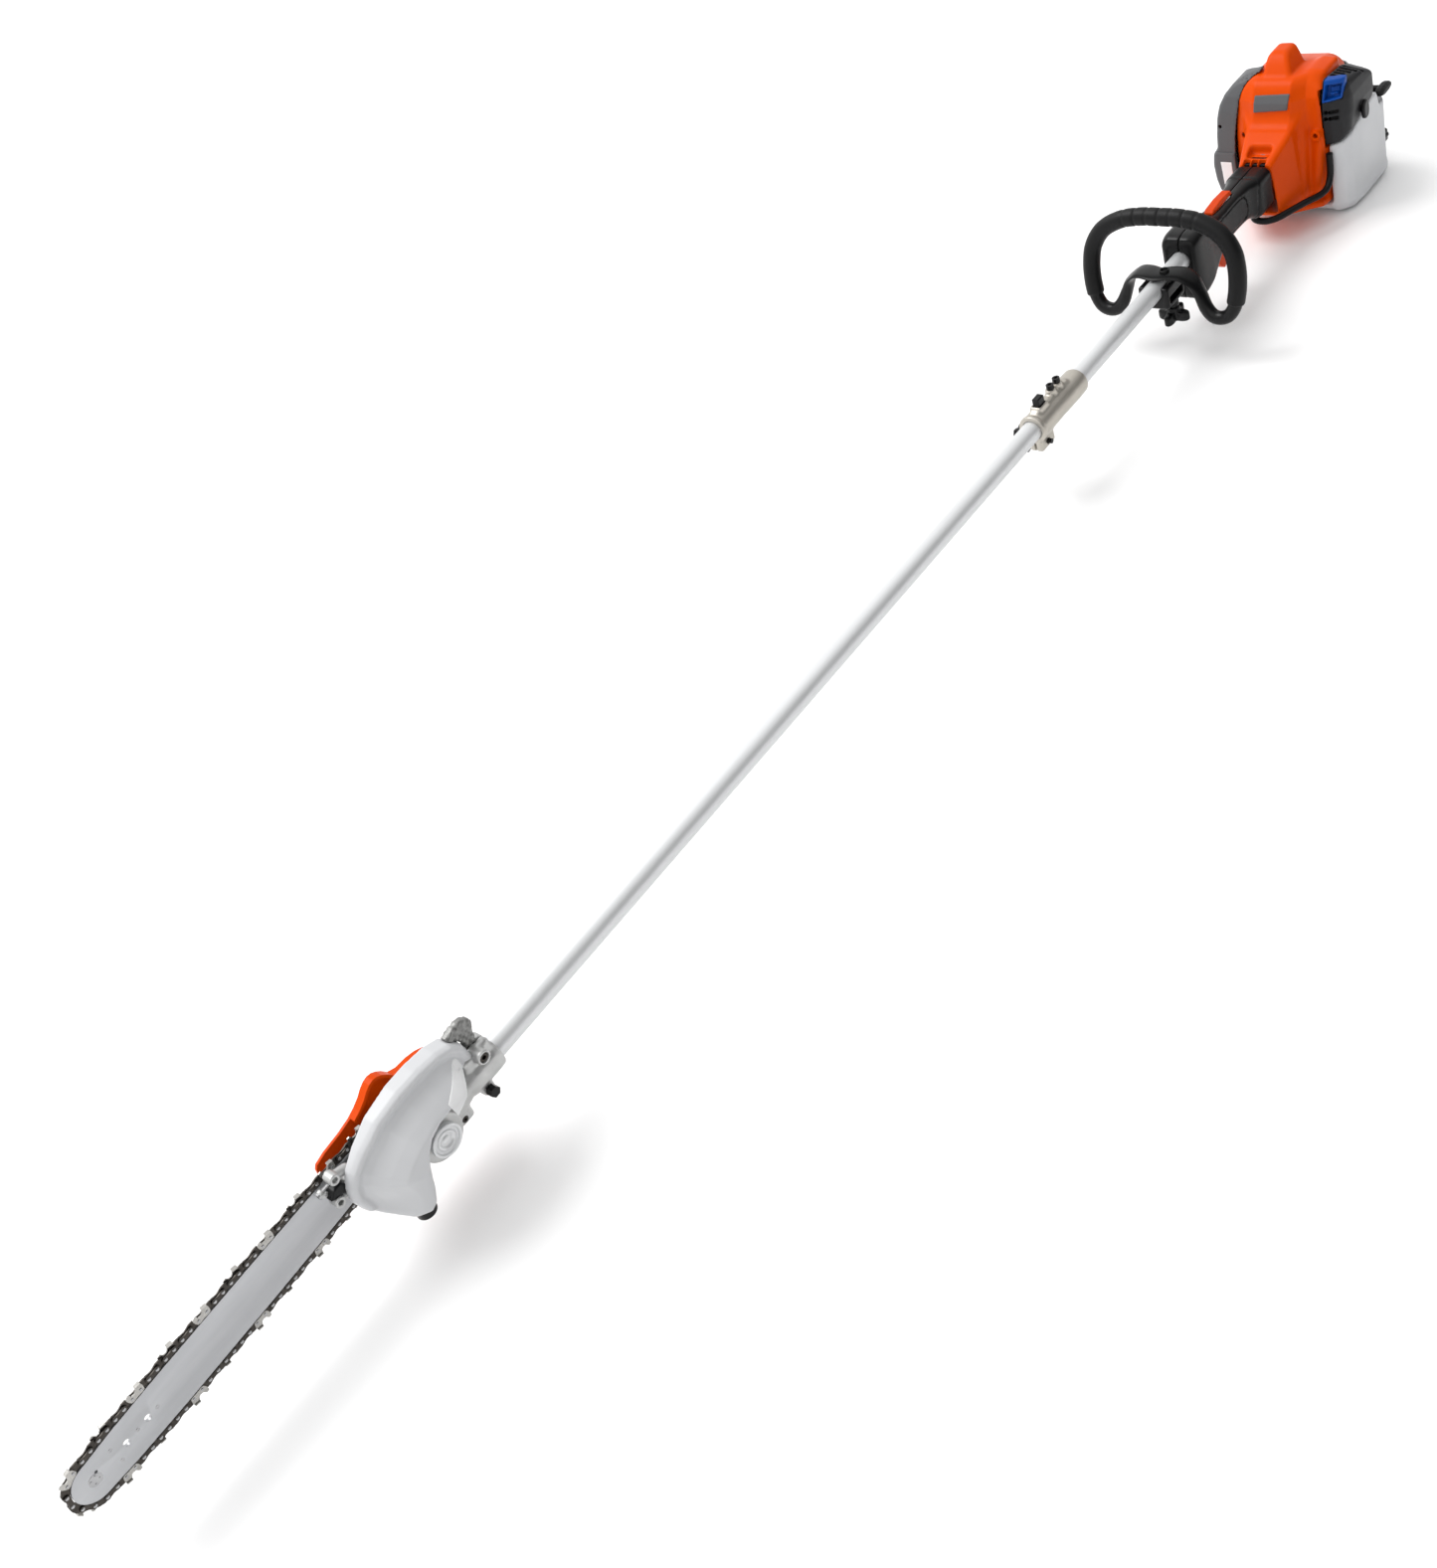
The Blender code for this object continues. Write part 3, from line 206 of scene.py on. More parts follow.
# Each look is (slot, light, dark, roughness, its swing, metallic), then the rest by name.
LOOKS = {
    "orange": ("orange_shell", (218, 76, 2), (204, 64, 1), 0.30, 0.05, 0, {"bump": 0.05, "sheen": 0.07}),
    "orange_dark": ("orange_trigger", (208, 66, 3), (192, 54, 2), 0.40, 0.05, 0, {"sheen": 0.10}),
    "grey_plastic": ("grey_plastic", (92, 93, 95), (84, 85, 87), 0.46, 0.06, 0,
        {"bump": 0.10, "sheen": 0.26}),
    "dark_plastic": ("dark_plastic", (36, 36, 38), (29, 29, 31), 0.42, 0.06, 0,
        {"bump": 0.12, "sheen": 0.22}),
    "black_plastic": ("black_plastic", (15, 15, 16), (9, 9, 10), 0.30, 0.08, 0,
        {"bump": 0.12, "sheen": 0.22}),
    "black_rubber": ("black_rubber", (14, 14, 15), (8, 8, 9), 0.44, 0.08, 0,
        {"bump": 0.22, "grain": 1400, "sheen": 0.20}),
    "blue": ("blue_plastic", (8, 74, 160), (5, 58, 134), 0.36, 0.05, 0, {"sheen": 0.16}),
    "tank_white": ("white_tank", (206, 207, 209), (190, 192, 195), 0.32, 0.05, 0,
        {"bump": 0.04, "subsurface": 0.2}),
    "white_plastic": ("white_shell", (206, 207, 209), (196, 197, 199), 0.34, 0.05, 0,
        {"bump": 0.05, "sheen": 0.35}),
    "aluminium": ("tube_alloy", (222, 223, 224), (210, 211, 212), 0.44, 0.06, 0.50,
                  {"stretch": (0.06, 1, 1), "patch": 90, "bump": 0.04, "grain": 1500}),
    "cast_metal": ("cast_alloy", (204, 204, 203), (172, 173, 172), 0.46, 0.10, 0.8,
        {"patch": 60, "bump": 0.30, "grain": 520}),
    "rough_cast": (None, (168, 168, 166), (96, 96, 95), 0.50, 0.12, 1,
        {"patch": 150, "bump": 0.8, "grain": 300}),
    "champagne": ("coupling_alloy", (196, 191, 182), (174, 169, 160), 0.42, 0.08, 0.85,
        {"patch": 50, "bump": 0.15, "grain": 800}),
    "steel": ("machined_steel", (184, 184, 185), (150, 150, 152), 0.26, 0.08, 1,
        {"patch": 80, "bump": 0.05, "grain": 1200}),
    "dark_steel": ("dark_steel", (84, 80, 76), (48, 45, 42), 0.36, 0.10, 1,
        {"patch": 120, "bump": 0.12, "grain": 1200}),
    "cutter_steel": ("machined_steel", (196, 194, 190), (140, 138, 134), 0.28, 0.08, 1,
        {"patch": 140, "bump": 0.08}),
    "bar_steel": ("bar_steel", (186, 187, 189), (164, 165, 168), 0.36, 0.09, 1,
                  {"stretch": (0.15, 1, 1), "patch": 70, "bump": 0.06, "grain": 1100}),
    "foam": ("foam", (60, 60, 60), (40, 40, 40), 0.90, 0.05, 0, {"bump": 0.6, "grain": 700}),
    "label": (None, (232, 232, 232), (222, 223, 224), 0.42, 0.05, 0, {}),
}
FINISHES = {name: finish_of(name, *look[1:6], **look[6]) for name, look in LOOKS.items()}
SLOTS = {name: look[0] for name, look in LOOKS.items() if look[0]}


# Mesh helpers.

SHARP_EDGE = 34.0
KEPT_FACES = 0.45  # share of a skinned piece's faces

def metres(point):
    x, y, z = point
    return Vector((x * MM, y * MM, (z - DATUM) * MM))


def new_mesh(points, faces):
    """A mesh object from millimetre points."""
    mesh = bpy.data.meshes.new("piece")
    mesh.from_pydata([metres(point) for point in points], [], faces)
    return new_object("piece", mesh)


def solid(points, faces):
    obj = new_mesh(points, faces)
    bm = bmesh.new()
    bm.from_mesh(obj.data)
    bmesh.ops.remove_doubles(bm, verts=bm.verts, dist=1e-6)
    bmesh.ops.recalc_face_normals(bm, faces=bm.faces)
    bm.to_mesh(obj.data)
    bm.free()
    return obj


def place(axis, along, a, b):
    if axis == "x":
        return (along, a, b)
    if axis == "y":
        return (a, along, b)
    return (a, b, along)


def loft(axis, sections):
    count = len(sections[0][1])
    points = [place(axis, along, a, b) for along, outline in sections for a, b in outline]
    faces = []
    for low in range(0, (len(sections) - 1) * count, count):
        for k in range(count):
            following = (k + 1) % count
            faces.append((low + k, low + following, low + count + following, low + count + k))
    faces.append(tuple(range(count)))
    faces.append(tuple(range(len(points) - count, len(points))))
    return solid(points, faces)


def prism(axis, outline, low, high):
    return loft(axis, [(low, outline), (high, outline)])


def circle(radius, centre, steps):
    a, b = centre
    angles = [k * (2 * math.pi / steps) for k in range(steps)]
    return [(a + radius * math.cos(angle), b + radius * math.sin(angle)) for angle in angles]


def turned(axis, centre, profile, steps):
    """Revolves an open (along, radius) profile that starts and ends on the axis."""
    points = []
    for along, radius in profile:
        points += [place(axis, along, a, b) for a, b in circle(max(radius, 1e-3), centre, steps)]
    faces = []
    for low in range(0, (len(profile) - 1) * steps, steps):
        for k in range(steps):
            following = (k + 1) % steps
            faces.append((low + k, low + following, low + steps + following, low + steps + k))
    return solid(points, faces)


def rounded(outline):
    """The outline with each corner cut off a quarter of the way along its sides."""
    cut_corners = []
    for k, (a, b) in enumerate(outline):
        c, d = outline[(k + 1) % len(outline)]
        cut_corners.append((0.75 * a + 0.25 * c, 0.75 * b + 0.25 * d))
        cut_corners.append((0.25 * a + 0.75 * c, 0.25 * b + 0.75 * d))
    return cut_corners


def eased(rows, parts):
    """Rows of numbers with smooth rows put between them."""
    rows = np.array(rows, float)
    filled = []
    for k in range(len(rows) - 1):
        p, q, r, s = rows[max(k - 1, 0)], rows[k], rows[k + 1], rows[min(k + 2, len(rows) - 1)]
        for part in range(parts):
            t = part / parts
            filled.append(0.5 * (2 * q + (r - p) * t + (2 * p - 5 * q + 4 * r - s) * t * t
                                 + (3 * q - p - 3 * r + s) * t * t * t))
    filled.append(rows[-1])
    return [tuple(float(v) for v in row) for row in filled]


def closed_curve(points, parts):
    points = list(points) + list(points)[:3]
    return eased(points, parts)[parts:-1 - parts]


def swept(path, radii, sides=24, closed=False, first_side=None, bore=None):
    """A bar along a path; radii gives its (across, out) at each point, and bore makes it a sleeve."""
    path = [Vector(point) for point in path]
    count = len(path)
    points = []
    side = None
    for k in range(count):
        before = path[k - 1] if closed or k else path[k]
        after = path[(k + 1) % count] if closed or k < count - 1 else path[k]
        tangent = (after - before).normalized()
        if first_side or side is None:
            side = Vector(first_side or (0, 0, 1))
            side = Vector((0, 1, 0)) if abs(tangent.dot(side)) > 0.9 and not first_side else side
        side = (side - tangent * side.dot(tangent)).normalized()
        out = tangent.cross(side)
        wide, thick = radii[k]
        unit = circle(1.0, (0.0, 0.0), sides)
        points += [path[k] + side * c * wide + out * s * thick for c, s in unit]
        if bore:
            points += [path[k] + side * c * bore + out * s * bore for c, s in unit]
    per = sides * (2 if bore else 1)
    faces = []
    for k in range(count if closed else count - 1):
        low, high = k * per, (k + 1) % count * per
        for start in range(0, per, sides):
            for j in range(sides):
                following = (j + 1) % sides
                a, b = low + start + j, low + start + following
                c, d = high + start + following, high + start + j
                faces.append((a, b, c, d) if start == 0 else (d, c, b, a))
    for end in [] if closed else [0, (count - 1) * per]:
        if bore:
            for j in range(sides):
                following = (j + 1) % sides
                faces.append((end + j, end + following, end + sides + following, end + sides + j))
        else:
            faces.append(tuple(end + j for j in range(sides)))
    return solid(points, faces)


def with_modifier(obj, kind, settings):
    modifier = obj.modifiers.new("step", kind)
    for key, value in settings.items():
        setattr(modifier, key, value)
    graph = bpy.context.evaluated_depsgraph_get()
    mesh = bpy.data.meshes.new_from_object(obj.evaluated_get(graph))
    obj.modifiers.clear()
    obj.data = mesh
    return obj


def cut_away(base, tools):
    for tool in tools:
        with_modifier(base, "BOOLEAN", {"operation": "DIFFERENCE", "solver": "EXACT", "object": tool})
        bpy.data.objects.remove(tool)


def bevel(obj, width, segments, angle):
    with_modifier(obj, "BEVEL", {"width": width * MM, "segments": segments, "limit_method": "ANGLE",
                                 "angle_limit": math.radians(angle), "harden_normals": False})


def joined(pieces):
    """One object with the meshes of several."""
    bm = bmesh.new()
    for piece in pieces:
        bm.from_mesh(piece.data)
        bpy.data.objects.remove(piece)
    mesh = bpy.data.meshes.new("piece")
    bm.to_mesh(mesh)
    bm.free()
    return new_object("piece", mesh)


def show(name, obj, look, body, stands_for=()):
    """Names a piece, gives it its finish and the body it rides on, and hides the CAD nodes it stands for."""
    obj.name = name
    obj.data.name = name
    obj.data.materials.clear()
    obj.data.materials.append(FINISHES[look])
    for polygon in obj.data.polygons:
        polygon.use_smooth = True
    obj.data.set_sharp_from_angle(angle=math.radians(SHARP_EDGE))
    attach(obj, body)
    if stands_for:
        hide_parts(*stands_for)


# Distance fields. A field is negative inside, in millimetres, over sparse x, y and z arrays.


def off_axis(y, z):
    """Distance from the shaft's axis."""
    return np.sqrt(y * y + (z - AXIS_Z) ** 2)


def span(value, low, high):
    return np.abs(value - 0.5 * (low + high)) - 0.5 * (high - low)


def rim(a, b, radius):
    """Joins two distances in a corner of that radius."""
    u, v = np.maximum(a + radius, 0), np.maximum(b + radius, 0)
    return np.sqrt(u * u + v * v) + np.minimum(np.maximum(a, b) + radius, 0) - radius


def slab(x, y, z, x0, x1, y0, y1, z0, z1, radius=1.0):
    return rim(rim(span(x, x0, x1), span(y, y0, y1), radius), span(z, z0, z1), radius)


def disc(a, b, along, centre, radius, low, high, edge=1.0):
    away = np.sqrt((a - centre[0]) ** 2 + (b - centre[1]) ** 2) - radius
    return rim(away, span(along, low, high), edge)


def join(a, b, soft=0.0):
    if soft == 0:
        return np.minimum(a, b)
    h = np.maximum(soft - np.abs(a - b), 0) / soft
    return np.minimum(a, b) - h * h * soft * 0.25


def cut(a, b, soft=0.0):
    return -join(-a, b, soft)


def both(a, b, soft=0.0):
    return -join(-a, -b, soft)


def edge_distance(a, b, line):
    """Distance to an open line in the plane of a and b."""
    a, b = np.broadcast_arrays(a, b)
    nearest = np.full(a.shape, 1e12)
    for (px, py), (qx, qy) in zip(line, line[1:]):
        ex, ey = qx - px, qy - py
        t = np.clip(((a - px) * ex + (b - py) * ey) / (ex * ex + ey * ey), 0, 1)
        nearest = np.minimum(nearest, (a - px - ex * t) ** 2 + (b - py - ey * t) ** 2)
    return np.sqrt(nearest)


def polygon(a, b, outline):
    """Distance to a closed outline in the plane of a and b."""
    a, b = np.broadcast_arrays(a, b)
    nearest = np.full(a.shape, 1e12)
    inside = np.zeros(a.shape, bool)
    for k, (px, py) in enumerate(outline):
        qx, qy = outline[(k + 1) % len(outline)]
        ex, ey = qx - px, qy - py
        wx, wy = a - px, b - py
        t = np.clip((wx * ex + wy * ey) / (ex * ex + ey * ey), 0, 1)
        nearest = np.minimum(nearest, (wx - ex * t) ** 2 + (wy - ey * t) ** 2)
        rising = (b >= py) & (b < qy) & (ex * wy > ey * wx)
        falling = (b < py) & (b >= qy) & (ex * wy < ey * wx)
        inside ^= rising | falling
    return np.where(inside, -1, 1) * np.sqrt(nearest)


def line_field(x, y, z, start, end, r0, r1):
    """A rod with round ends whose radius goes from r0 to r1."""
    start, end = np.array(start, float), np.array(end, float)
    e = end - start
    wx, wy, wz = x - start[0], y - start[1], z - start[2]
    t = np.clip((wx * e[0] + wy * e[1] + wz * e[2]) / (e @ e), 0, 1)
    away = np.sqrt((wx - e[0] * t) ** 2 + (wy - e[1] * t) ** 2 + (wz - e[2] * t) ** 2)
    return away - (r0 + (r1 - r0) * t)


def rows_field(along, a, b, rows, parts=6):
    """A bar of rounded rectangles from rows of (along, low a, high a, low b, high b, corner)."""
    table = np.array(eased(rows, parts))
    low_a, high_a, low_b, high_b, corner = (np.interp(along, table[:, 0], table[:, k]) for k in range(1, 6))
    wide, tall = 0.5 * (high_a - low_a), 0.5 * (high_b - low_b)
    radius = corner * 2 * np.minimum(wide, tall) * 0.85
    u = np.abs(a - 0.5 * (low_a + high_a)) - wide + radius
    v = np.abs(b - 0.5 * (low_b + high_b)) - tall + radius
    return np.sqrt(np.maximum(u, 0) ** 2 + np.maximum(v, 0) ** 2) + np.minimum(np.maximum(u, v), 0) - radius


def skin(low, high, step, field, smooth=0):
    """The surface where a field is zero, as a mesh object of quads about one step across."""
    axes = [low[k] + step * np.arange(int(math.ceil((high[k] - low[k]) / step)) + 1) for k in range(3)]
    x, y, z = np.meshgrid(*axes, indexing="ij", sparse=True)
    shape = tuple(len(axis) for axis in axes)
    value = np.ascontiguousarray(np.broadcast_to(field(x, y, z), shape), dtype=np.float64)
    inside = value < 0
    cells = tuple(n - 1 for n in shape)
    corners = [(i, j, k) for i in (0, 1) for j in (0, 1) for k in (0, 1)]

    def shifted(array, corner):
        i, j, k = corner
        return array[i:i + cells[0], j:j + cells[1], k:k + cells[2]]

    held = sum(shifted(inside, corner).astype(np.int8) for corner in corners)
    active = (held > 0) & (held < 8)
    number = np.full(cells, -1, np.int64)
    number[active] = np.arange(int(active.sum()))
    where = np.argwhere(active)
    total = np.zeros((len(where), 3))
    hits = np.zeros(len(where))
    for corner in corners:
        for axis in range(3):
            if corner[axis]:
                continue
            other = list(corner)
            other[axis] = 1
            first = value[tuple((where + corner).T)]
            second = value[tuple((where + other).T)]
            crossing = (first < 0) != (second < 0)
            t = first[crossing] / (first[crossing] - second[crossing])
            found = np.tile(np.array(corner, float), (len(t), 1))
            found[:, axis] += t
            total[crossing] += found
            hits[crossing] += 1
    points = (where + total / hits[:, None]) * step + np.array(low)
    faces = []
    for axis in range(3):
        u, v = [k for k in range(3) if k != axis]
        ahead = [slice(None)] * 3
        behind = [slice(None)] * 3
        ahead[axis], behind[axis] = slice(1, None), slice(0, -1)
        crossing = inside[tuple(behind)] != inside[tuple(ahead)]
        spots = np.argwhere(crossing)
        fits = (spots[:, u] > 0) & (spots[:, v] > 0) & (spots[:, u] < cells[u]) & (spots[:, v] < cells[v])
        spots = spots[fits]
        step_u, step_v = np.zeros(3, int), np.zeros(3, int)
        step_u[u] = step_v[v] = 1
        around = (step_u + step_v, step_v, 0 * step_u, step_u)
        quad = np.stack([number[tuple((spots - back).T)] for back in around], 1)
        outward = inside[tuple(behind)][tuple(spots.T)]
        turn = outward if axis != 1 else ~outward
        quad[~turn] = quad[~turn][:, ::-1]
        faces.append(quad)
    faces = np.concatenate(faces)
    points[:, 2] -= DATUM
    points *= MM
    mesh = bpy.data.meshes.new("piece")
    mesh.vertices.add(len(points))
    mesh.vertices.foreach_set("co", points.astype(np.float32).ravel())
    mesh.loops.add(len(faces) * 4)
    mesh.loops.foreach_set("vertex_index", faces.astype(np.int32).ravel())
    mesh.polygons.add(len(faces))
    mesh.polygons.foreach_set("loop_start", np.arange(0, len(faces) * 4, 4, dtype=np.int32))
    mesh.polygons.foreach_set("loop_total", np.full(len(faces), 4, np.int32))
    mesh.update(calc_edges=True)
    mesh.validate()
    obj = new_object("piece", mesh)
    if smooth:
        with_modifier(obj, "SMOOTH", {"factor": 0.5, "iterations": smooth})
    return with_modifier(obj, "DECIMATE", {"ratio": KEPT_FACES})


# Power head.

SHROUD_ROWS = (
    (-40, -56, 53, 50, 200, 0.26),
    (0, -62, 60, 44, 210, 0.26),
    (36, -66, 62, 40, 211, 0.22),
    (56, -66, 61, 40, 210, 0.22),
    (70, -66, 60, 42, 207, 0.22),
)
HOOD_ROWS = (
    (186, -4, 60, -21, 22, 0.16),
    (208, -1, 48, -20.8, 19, 0.18),
    (222, -2, 37, -20.5, 12.5, 0.20),
    (230, -3, 29, -19, 8, 0.24),
    (235, -4, 22, -16, 5, 0.30),
)


def face_reach(y, z):
    """How far forward the orange face reaches: a proud panel between a soft shoulder and a recessed flank."""
    across = np.interp(y, (-60, -46, -34, -26, 24, 30, 40, 50, 62), (56, 60, 65, 69, 69, 64, 56, 55, 57))
    return across + np.interp(z, (40, 150, 186, 212), (0, 0, -2, -12))


def left_edge(z):
    """Where the orange ends on the tool's right, and the silencer cover begins."""
    heights = (40, 110, 137, 162, 184, 192, 201, 206, 212, 216)
    return np.interp(z, heights, (-63, -65, -62, -57, -52, -49.5, -44, -40, -33, -24))


GRILLE_LEFTS = (-16.5, -6.0, 4.5)
FACE_SCREWS = ((-47, 138), (52, 138))
NOSE_STATIONS = (60, 84, 127)


def nose_shape(x, z):
    """The top, the half width and the middle of the nose at a station."""
    top = np.interp(x, NOSE_STATIONS, (162, 155.5, 134))
    half = np.interp(x, NOSE_STATIONS, (34, 31.5, 22)) + (top - z) * 0.11
    return top, half, np.interp(x, NOSE_STATIONS, (-3.0, -0.5, -0.5))


def shroud_outer(x, y, z):
    """The cowl before it is hollowed: its rows, hood, brow, nose, foot flange and a screw boss."""
    body = both(rows_field(x, y, z, SHROUD_ROWS), x - face_reach(y, z), 14)
    body = both(body, left_edge(z) - y, 5)
    body = both(body, -40 - x, 2)
    hood = both(rows_field(z, x, y, HOOD_ROWS), z - 234, 6)
    body = join(body, hood, 3.5)
    body = join(body, slab(x, y, z, -14, 30, 34, 57, 190, 209.5, 5), 8)
    # The nose: a flat sloping top that narrows, and sides that flare towards the foot.
    top, half, middle = nose_shape(x, z)
    low = np.interp(x, (40, 60, 127), (42, 44, 64))
    nose = both(both(np.abs(y - middle) - half, z - top, 7), low - z, 6)
    body = join(body, both(nose, span(x, 0, 127), 1.5), 16)
    for start, end in (((58, 33, 148), (76, 36, 62)), ((54, 53, 128), (63, 50, 64))):
        body = join(body, line_field(x, y, z, start, end, 3.0, 6.0), 10)
    edge = np.interp(x, (40, 70, 104, 127), (60, 61, 42, 31))
    foot = both(np.abs(y) - edge, span(z, low - 3, low + 5), 3)
    body = join(body, both(foot, span(x, 30, 125), 2), 5)
    return join(body, disc(y, z, x, FACE_SCREWS[1], 7.0, 40, 62, 1.0), 3)


def shroud_field(x, y, z):
    body = shroud_outer(x, y, z)
    # Hollow inside, open for the shaft and the rear.
    rows = [(a, b + 3, min(c, 58) - 3, d + 3, e - 4, f) for a, b, c, d, e, f in SHROUD_ROWS]
    hollow = both(rows_field(x, y, z, rows), x - face_reach(y, z) + 4, 12)
    hollow = both(hollow, left_edge(z) + 3.4 - y, 8)
    _, half, middle = nose_shape(x, z)
    ceiling = np.interp(x, (60, 84, 87, 90, 128), (158, 152.4, 148, 132, 126))
    low = np.interp(x, (40, 60, 127), (45, 47, 67))
    inner_nose = both(both(np.abs(y - middle) - half + 3, z - ceiling, 4), low - z, 4)
    hollow = join(hollow, both(inner_nose, span(x, 0, 140), 1), 4)
    body = cut(body, both(hollow, span(x, -60, 150)), 0.8)
    body = cut(body, slab(x, y, z, -60, 50, 54.7, 80, 115.5, 193, 0.5), 0.6)
    body = cut(body, slab(x, y, z, -21.3, 22.7, -70, -36, 141.6, 171.4, 0.5), 0.6)
    # Screw holes, the grille over the collar and the air scoop in the nose.
    for spot in FACE_SCREWS:
        body = cut(body, disc(y, z, x, spot, 3.4, 30, 90, 0.5), 1.0)
    for left in GRILLE_LEFTS:
        body = cut(body, slab(x, y, z, 119, 140, left, left + 8.5, 122, 150, 1.0), 0.6)
    body = cut(body, slab(x, y, z, 101, 117, -16, 14, 134.5, 165, 4), 3)
    return cut(body, slab(x, y, z, 109, 115, -12, 10, 118, 150, 1.0), 0.8)


def nose_painted_shade_field(x, y, z):
    """A black piece behind the nose's openings, bored for the drive shaft: painted shade that makes the
    openings look dark.
    """
    body = slab(x, y, z, 98, 122, -19, 18, 112, 127.5, 1.5)
    body = join(body, slab(x, y, z, 109.0, 115.0, -11.8, 9.8, 118, 134.9, 0.5), 0.2)
    for left in GRILLE_LEFTS:
        body = join(body, slab(x, y, z, 116, 124.6, left + 0.4, left + 8.1, 118, 132.2, 0.5), 0.2)
    return cut(body, off_axis(y, z) - 9, 0.3)


COVER = [(-26, 217.5), (-36, 214), (-50.5, 209), (-62, 202.5), (-72, 191.5), (-79.5, 178), (-84.5, 160),
         (-88, 135), (-89, 119), (-94.5, 110), (-96.5, 95), (-94.5, 74), (-90, 58), (-80, 50), (-50, 50),
         (-40, 120), (-26, 190)]
COVER_WALL = 2.6


def muffler_cover_field(x, y, z):
    flat = polygon(y, z, COVER)
    top = np.interp(z, (113.4, 113.6, 170, 190, 205, 214), (63.0, 60.5, 60.5, 57, 49, 38))
    back = np.interp(z, (150, 180, 200, 214), (-47.5, -30, 0, 22))
    body = rim(flat, np.maximum(x - top, back - x), 5)
    inner = rim(flat + COVER_WALL, np.maximum(x - top + COVER_WALL, back + COVER_WALL - x), 4)
    body = cut(body, inner, 0.3)
    body = cut(body, shroud_outer(x, y, z) - 0.6, 0.3)
    body = both(body, y - left_edge(z) - 2.2, 0.4)
    for level in (96, 106, 116, 126):
        body = cut(body, slab(x, y, z, -36, 10, -110, -80, level, level + 4.5, 1), 0.6)
    return cut(body, disc(y, z, x, (-80, 150), 2.6, 45, 80, 0.5), 0.6)


LID_WALL = 2.8
LID_QUAD = [(60.8, 178.5), (83.5, 181.0), (86.0, 205.0), (63.0, 205.8)]
LID_OPENING = [(63.2, 180.9), (81.6, 183.2), (83.2, 199.2), (65.0, 199.8)]


def lid_front(y, z):
    """How far forward the filter lid's face reaches: it turns back towards its outer side and its top."""
    across = np.interp(y, (58, 70, 82, 90, 96), (54.5, 52.5, 47.0, 39.0, 30.0))
    return across + np.interp(z, (118, 157, 178, 206), (-3.5, 0.5, -1.5, -8.0))


def lid_outer(x, y, z):
    side = np.interp(z, (118, 124, 134, 160, 178, 190, 200, 207), (73, 81, 88.5, 92, 91.5, 88.5, 84, 78))
    top = np.interp(x, (-34, -20, -6, 40, 56), (188, 194.5, 200, 206, 206)) - np.maximum(y - 62, 0) * 0.30
    low = np.interp(x, (-34, 0, 38, 50, 55), (146, 139, 123.5, 118.6, 120))
    body = both(both(x - lid_front(y, z), -33 - x, 5), y - side, 7)
    return both(body, np.maximum(z - top, (low - z) * 0.93), 5)


def filter_cover_field(x, y, z):
    body = lid_outer(x, y, z)
    body = cut(body, body + LID_WALL, 0.2)
    body = both(body, 60.5 - y, 0.5)
    front = x - lid_front(y, z)
    body = cut(body, np.maximum(polygon(y, z, LID_QUAD) - 0.3, -12 - front), 0.3)
    for level in (163.3, 154.8):
        for a in (61.5, 67.7, 73.9):
            body = cut(body, slab(x, y, z, 40, 60, a, a + 5.4, level, level + 4.4, 0.8), 0.6)
    for a in (-8, 0, 8, 16):
        body = cut(body, slab(x + (y - 62) * 0.2, y, z, a, a + 4.4, 63, 84 - a * 0.5, 180, 220, 0.8), 0.6)
    body = cut(body, disc(x, y, z, (27, 66.5), 3.6, 185, 220, 0.5), 0.6)
    return cut(body, disc(x, z, y, (4, 146), 4.6, 80, 110, 0.5), 0.6)


def bezel_field(x, y, z):
    front = x - lid_front(y, z)
    quad = polygon(y, z, LID_QUAD)
    body = rim(quad, span(front, -11.5, 1.0), 1.0)
    return cut(body, np.maximum(polygon(y, z, LID_OPENING), -10.2 - front), 0.6)


def choke_field(x, y, z):
    front = x - lid_front(y, z)
    body = rim(span(front, -9.2, -7.4), rim(span(y, 68.5, 79.0), span(z, 182.5, 194.0), 1.0), 0.8)
    blade = rim(span(y, 69.5, 78.0), span(z, 186.0, 188.4), 0.8)
    body = join(body, rim(span(front, -8.5, -3.4), blade, 0.8), 1.0)
    return join(body, disc(x, z, y, (39, 179), 3.4, 68, 78, 0.6), 2)


def tank_field(x, y, z):
    """A tray under the engine, and a column beside it up to the filter lid."""
    stations = (-80, -76, -64, 4, 28, 43, 50)
    right = np.interp(x, stations, (74, 82, 88, 88, 86, 80, 72))
    floor = np.interp(x, stations, (26, 22, 20, 20, 21, 25, 29))
    body = both(rim(y - right, floor - z, 13), -50 - y, 8)
    body = both(body, span(x, -80, 50), 10)
    tray = both(body, z - 36, 4)
    shoulder = np.interp(x, (-86, -53, -47, -33, 0, 38, 52), (123, 123, 143, 144.5, 137.5, 122, 116.5))
    column = both(both(body, z - shoulder, 3), 63.8 - y, 2)
    return join(tray, column, 6)


def filter_back_field(x, y, z):
    top = np.interp(x, (-62, -30, 30, 47), (168, 186, 190, 188))
    body = rim(rim(span(x, -62, 46), np.maximum(z - top, 122 - z), 6), span(y, 55.4, 59.9), 1.2)
    return cut(body, disc(x, z, y, (-54, 165), 8.8, 50, 70, 0.3), 0.4)


def plate_field(x, y, z):
    outline = [(-24.5, 175.2), (-22.5, 194.5), (23.5, 196.0), (20.5, 178.0)]
    proud = np.maximum(span(shroud_outer(x, y, z), -1.0, 1.7), 55 - x)
    return rim(polygon(y, z, outline) - 0.8, proud, 0.8)


def label_field(x, y, z):
    outline = [(-84.5, 101.5), (-67.5, 101.0), (-67, 82), (-73.5, 68.5), (-82.3, 67.5)]
    return rim(polygon(y, z, outline) + 0.5, span(x, 61.5, 63.4), 0.6)


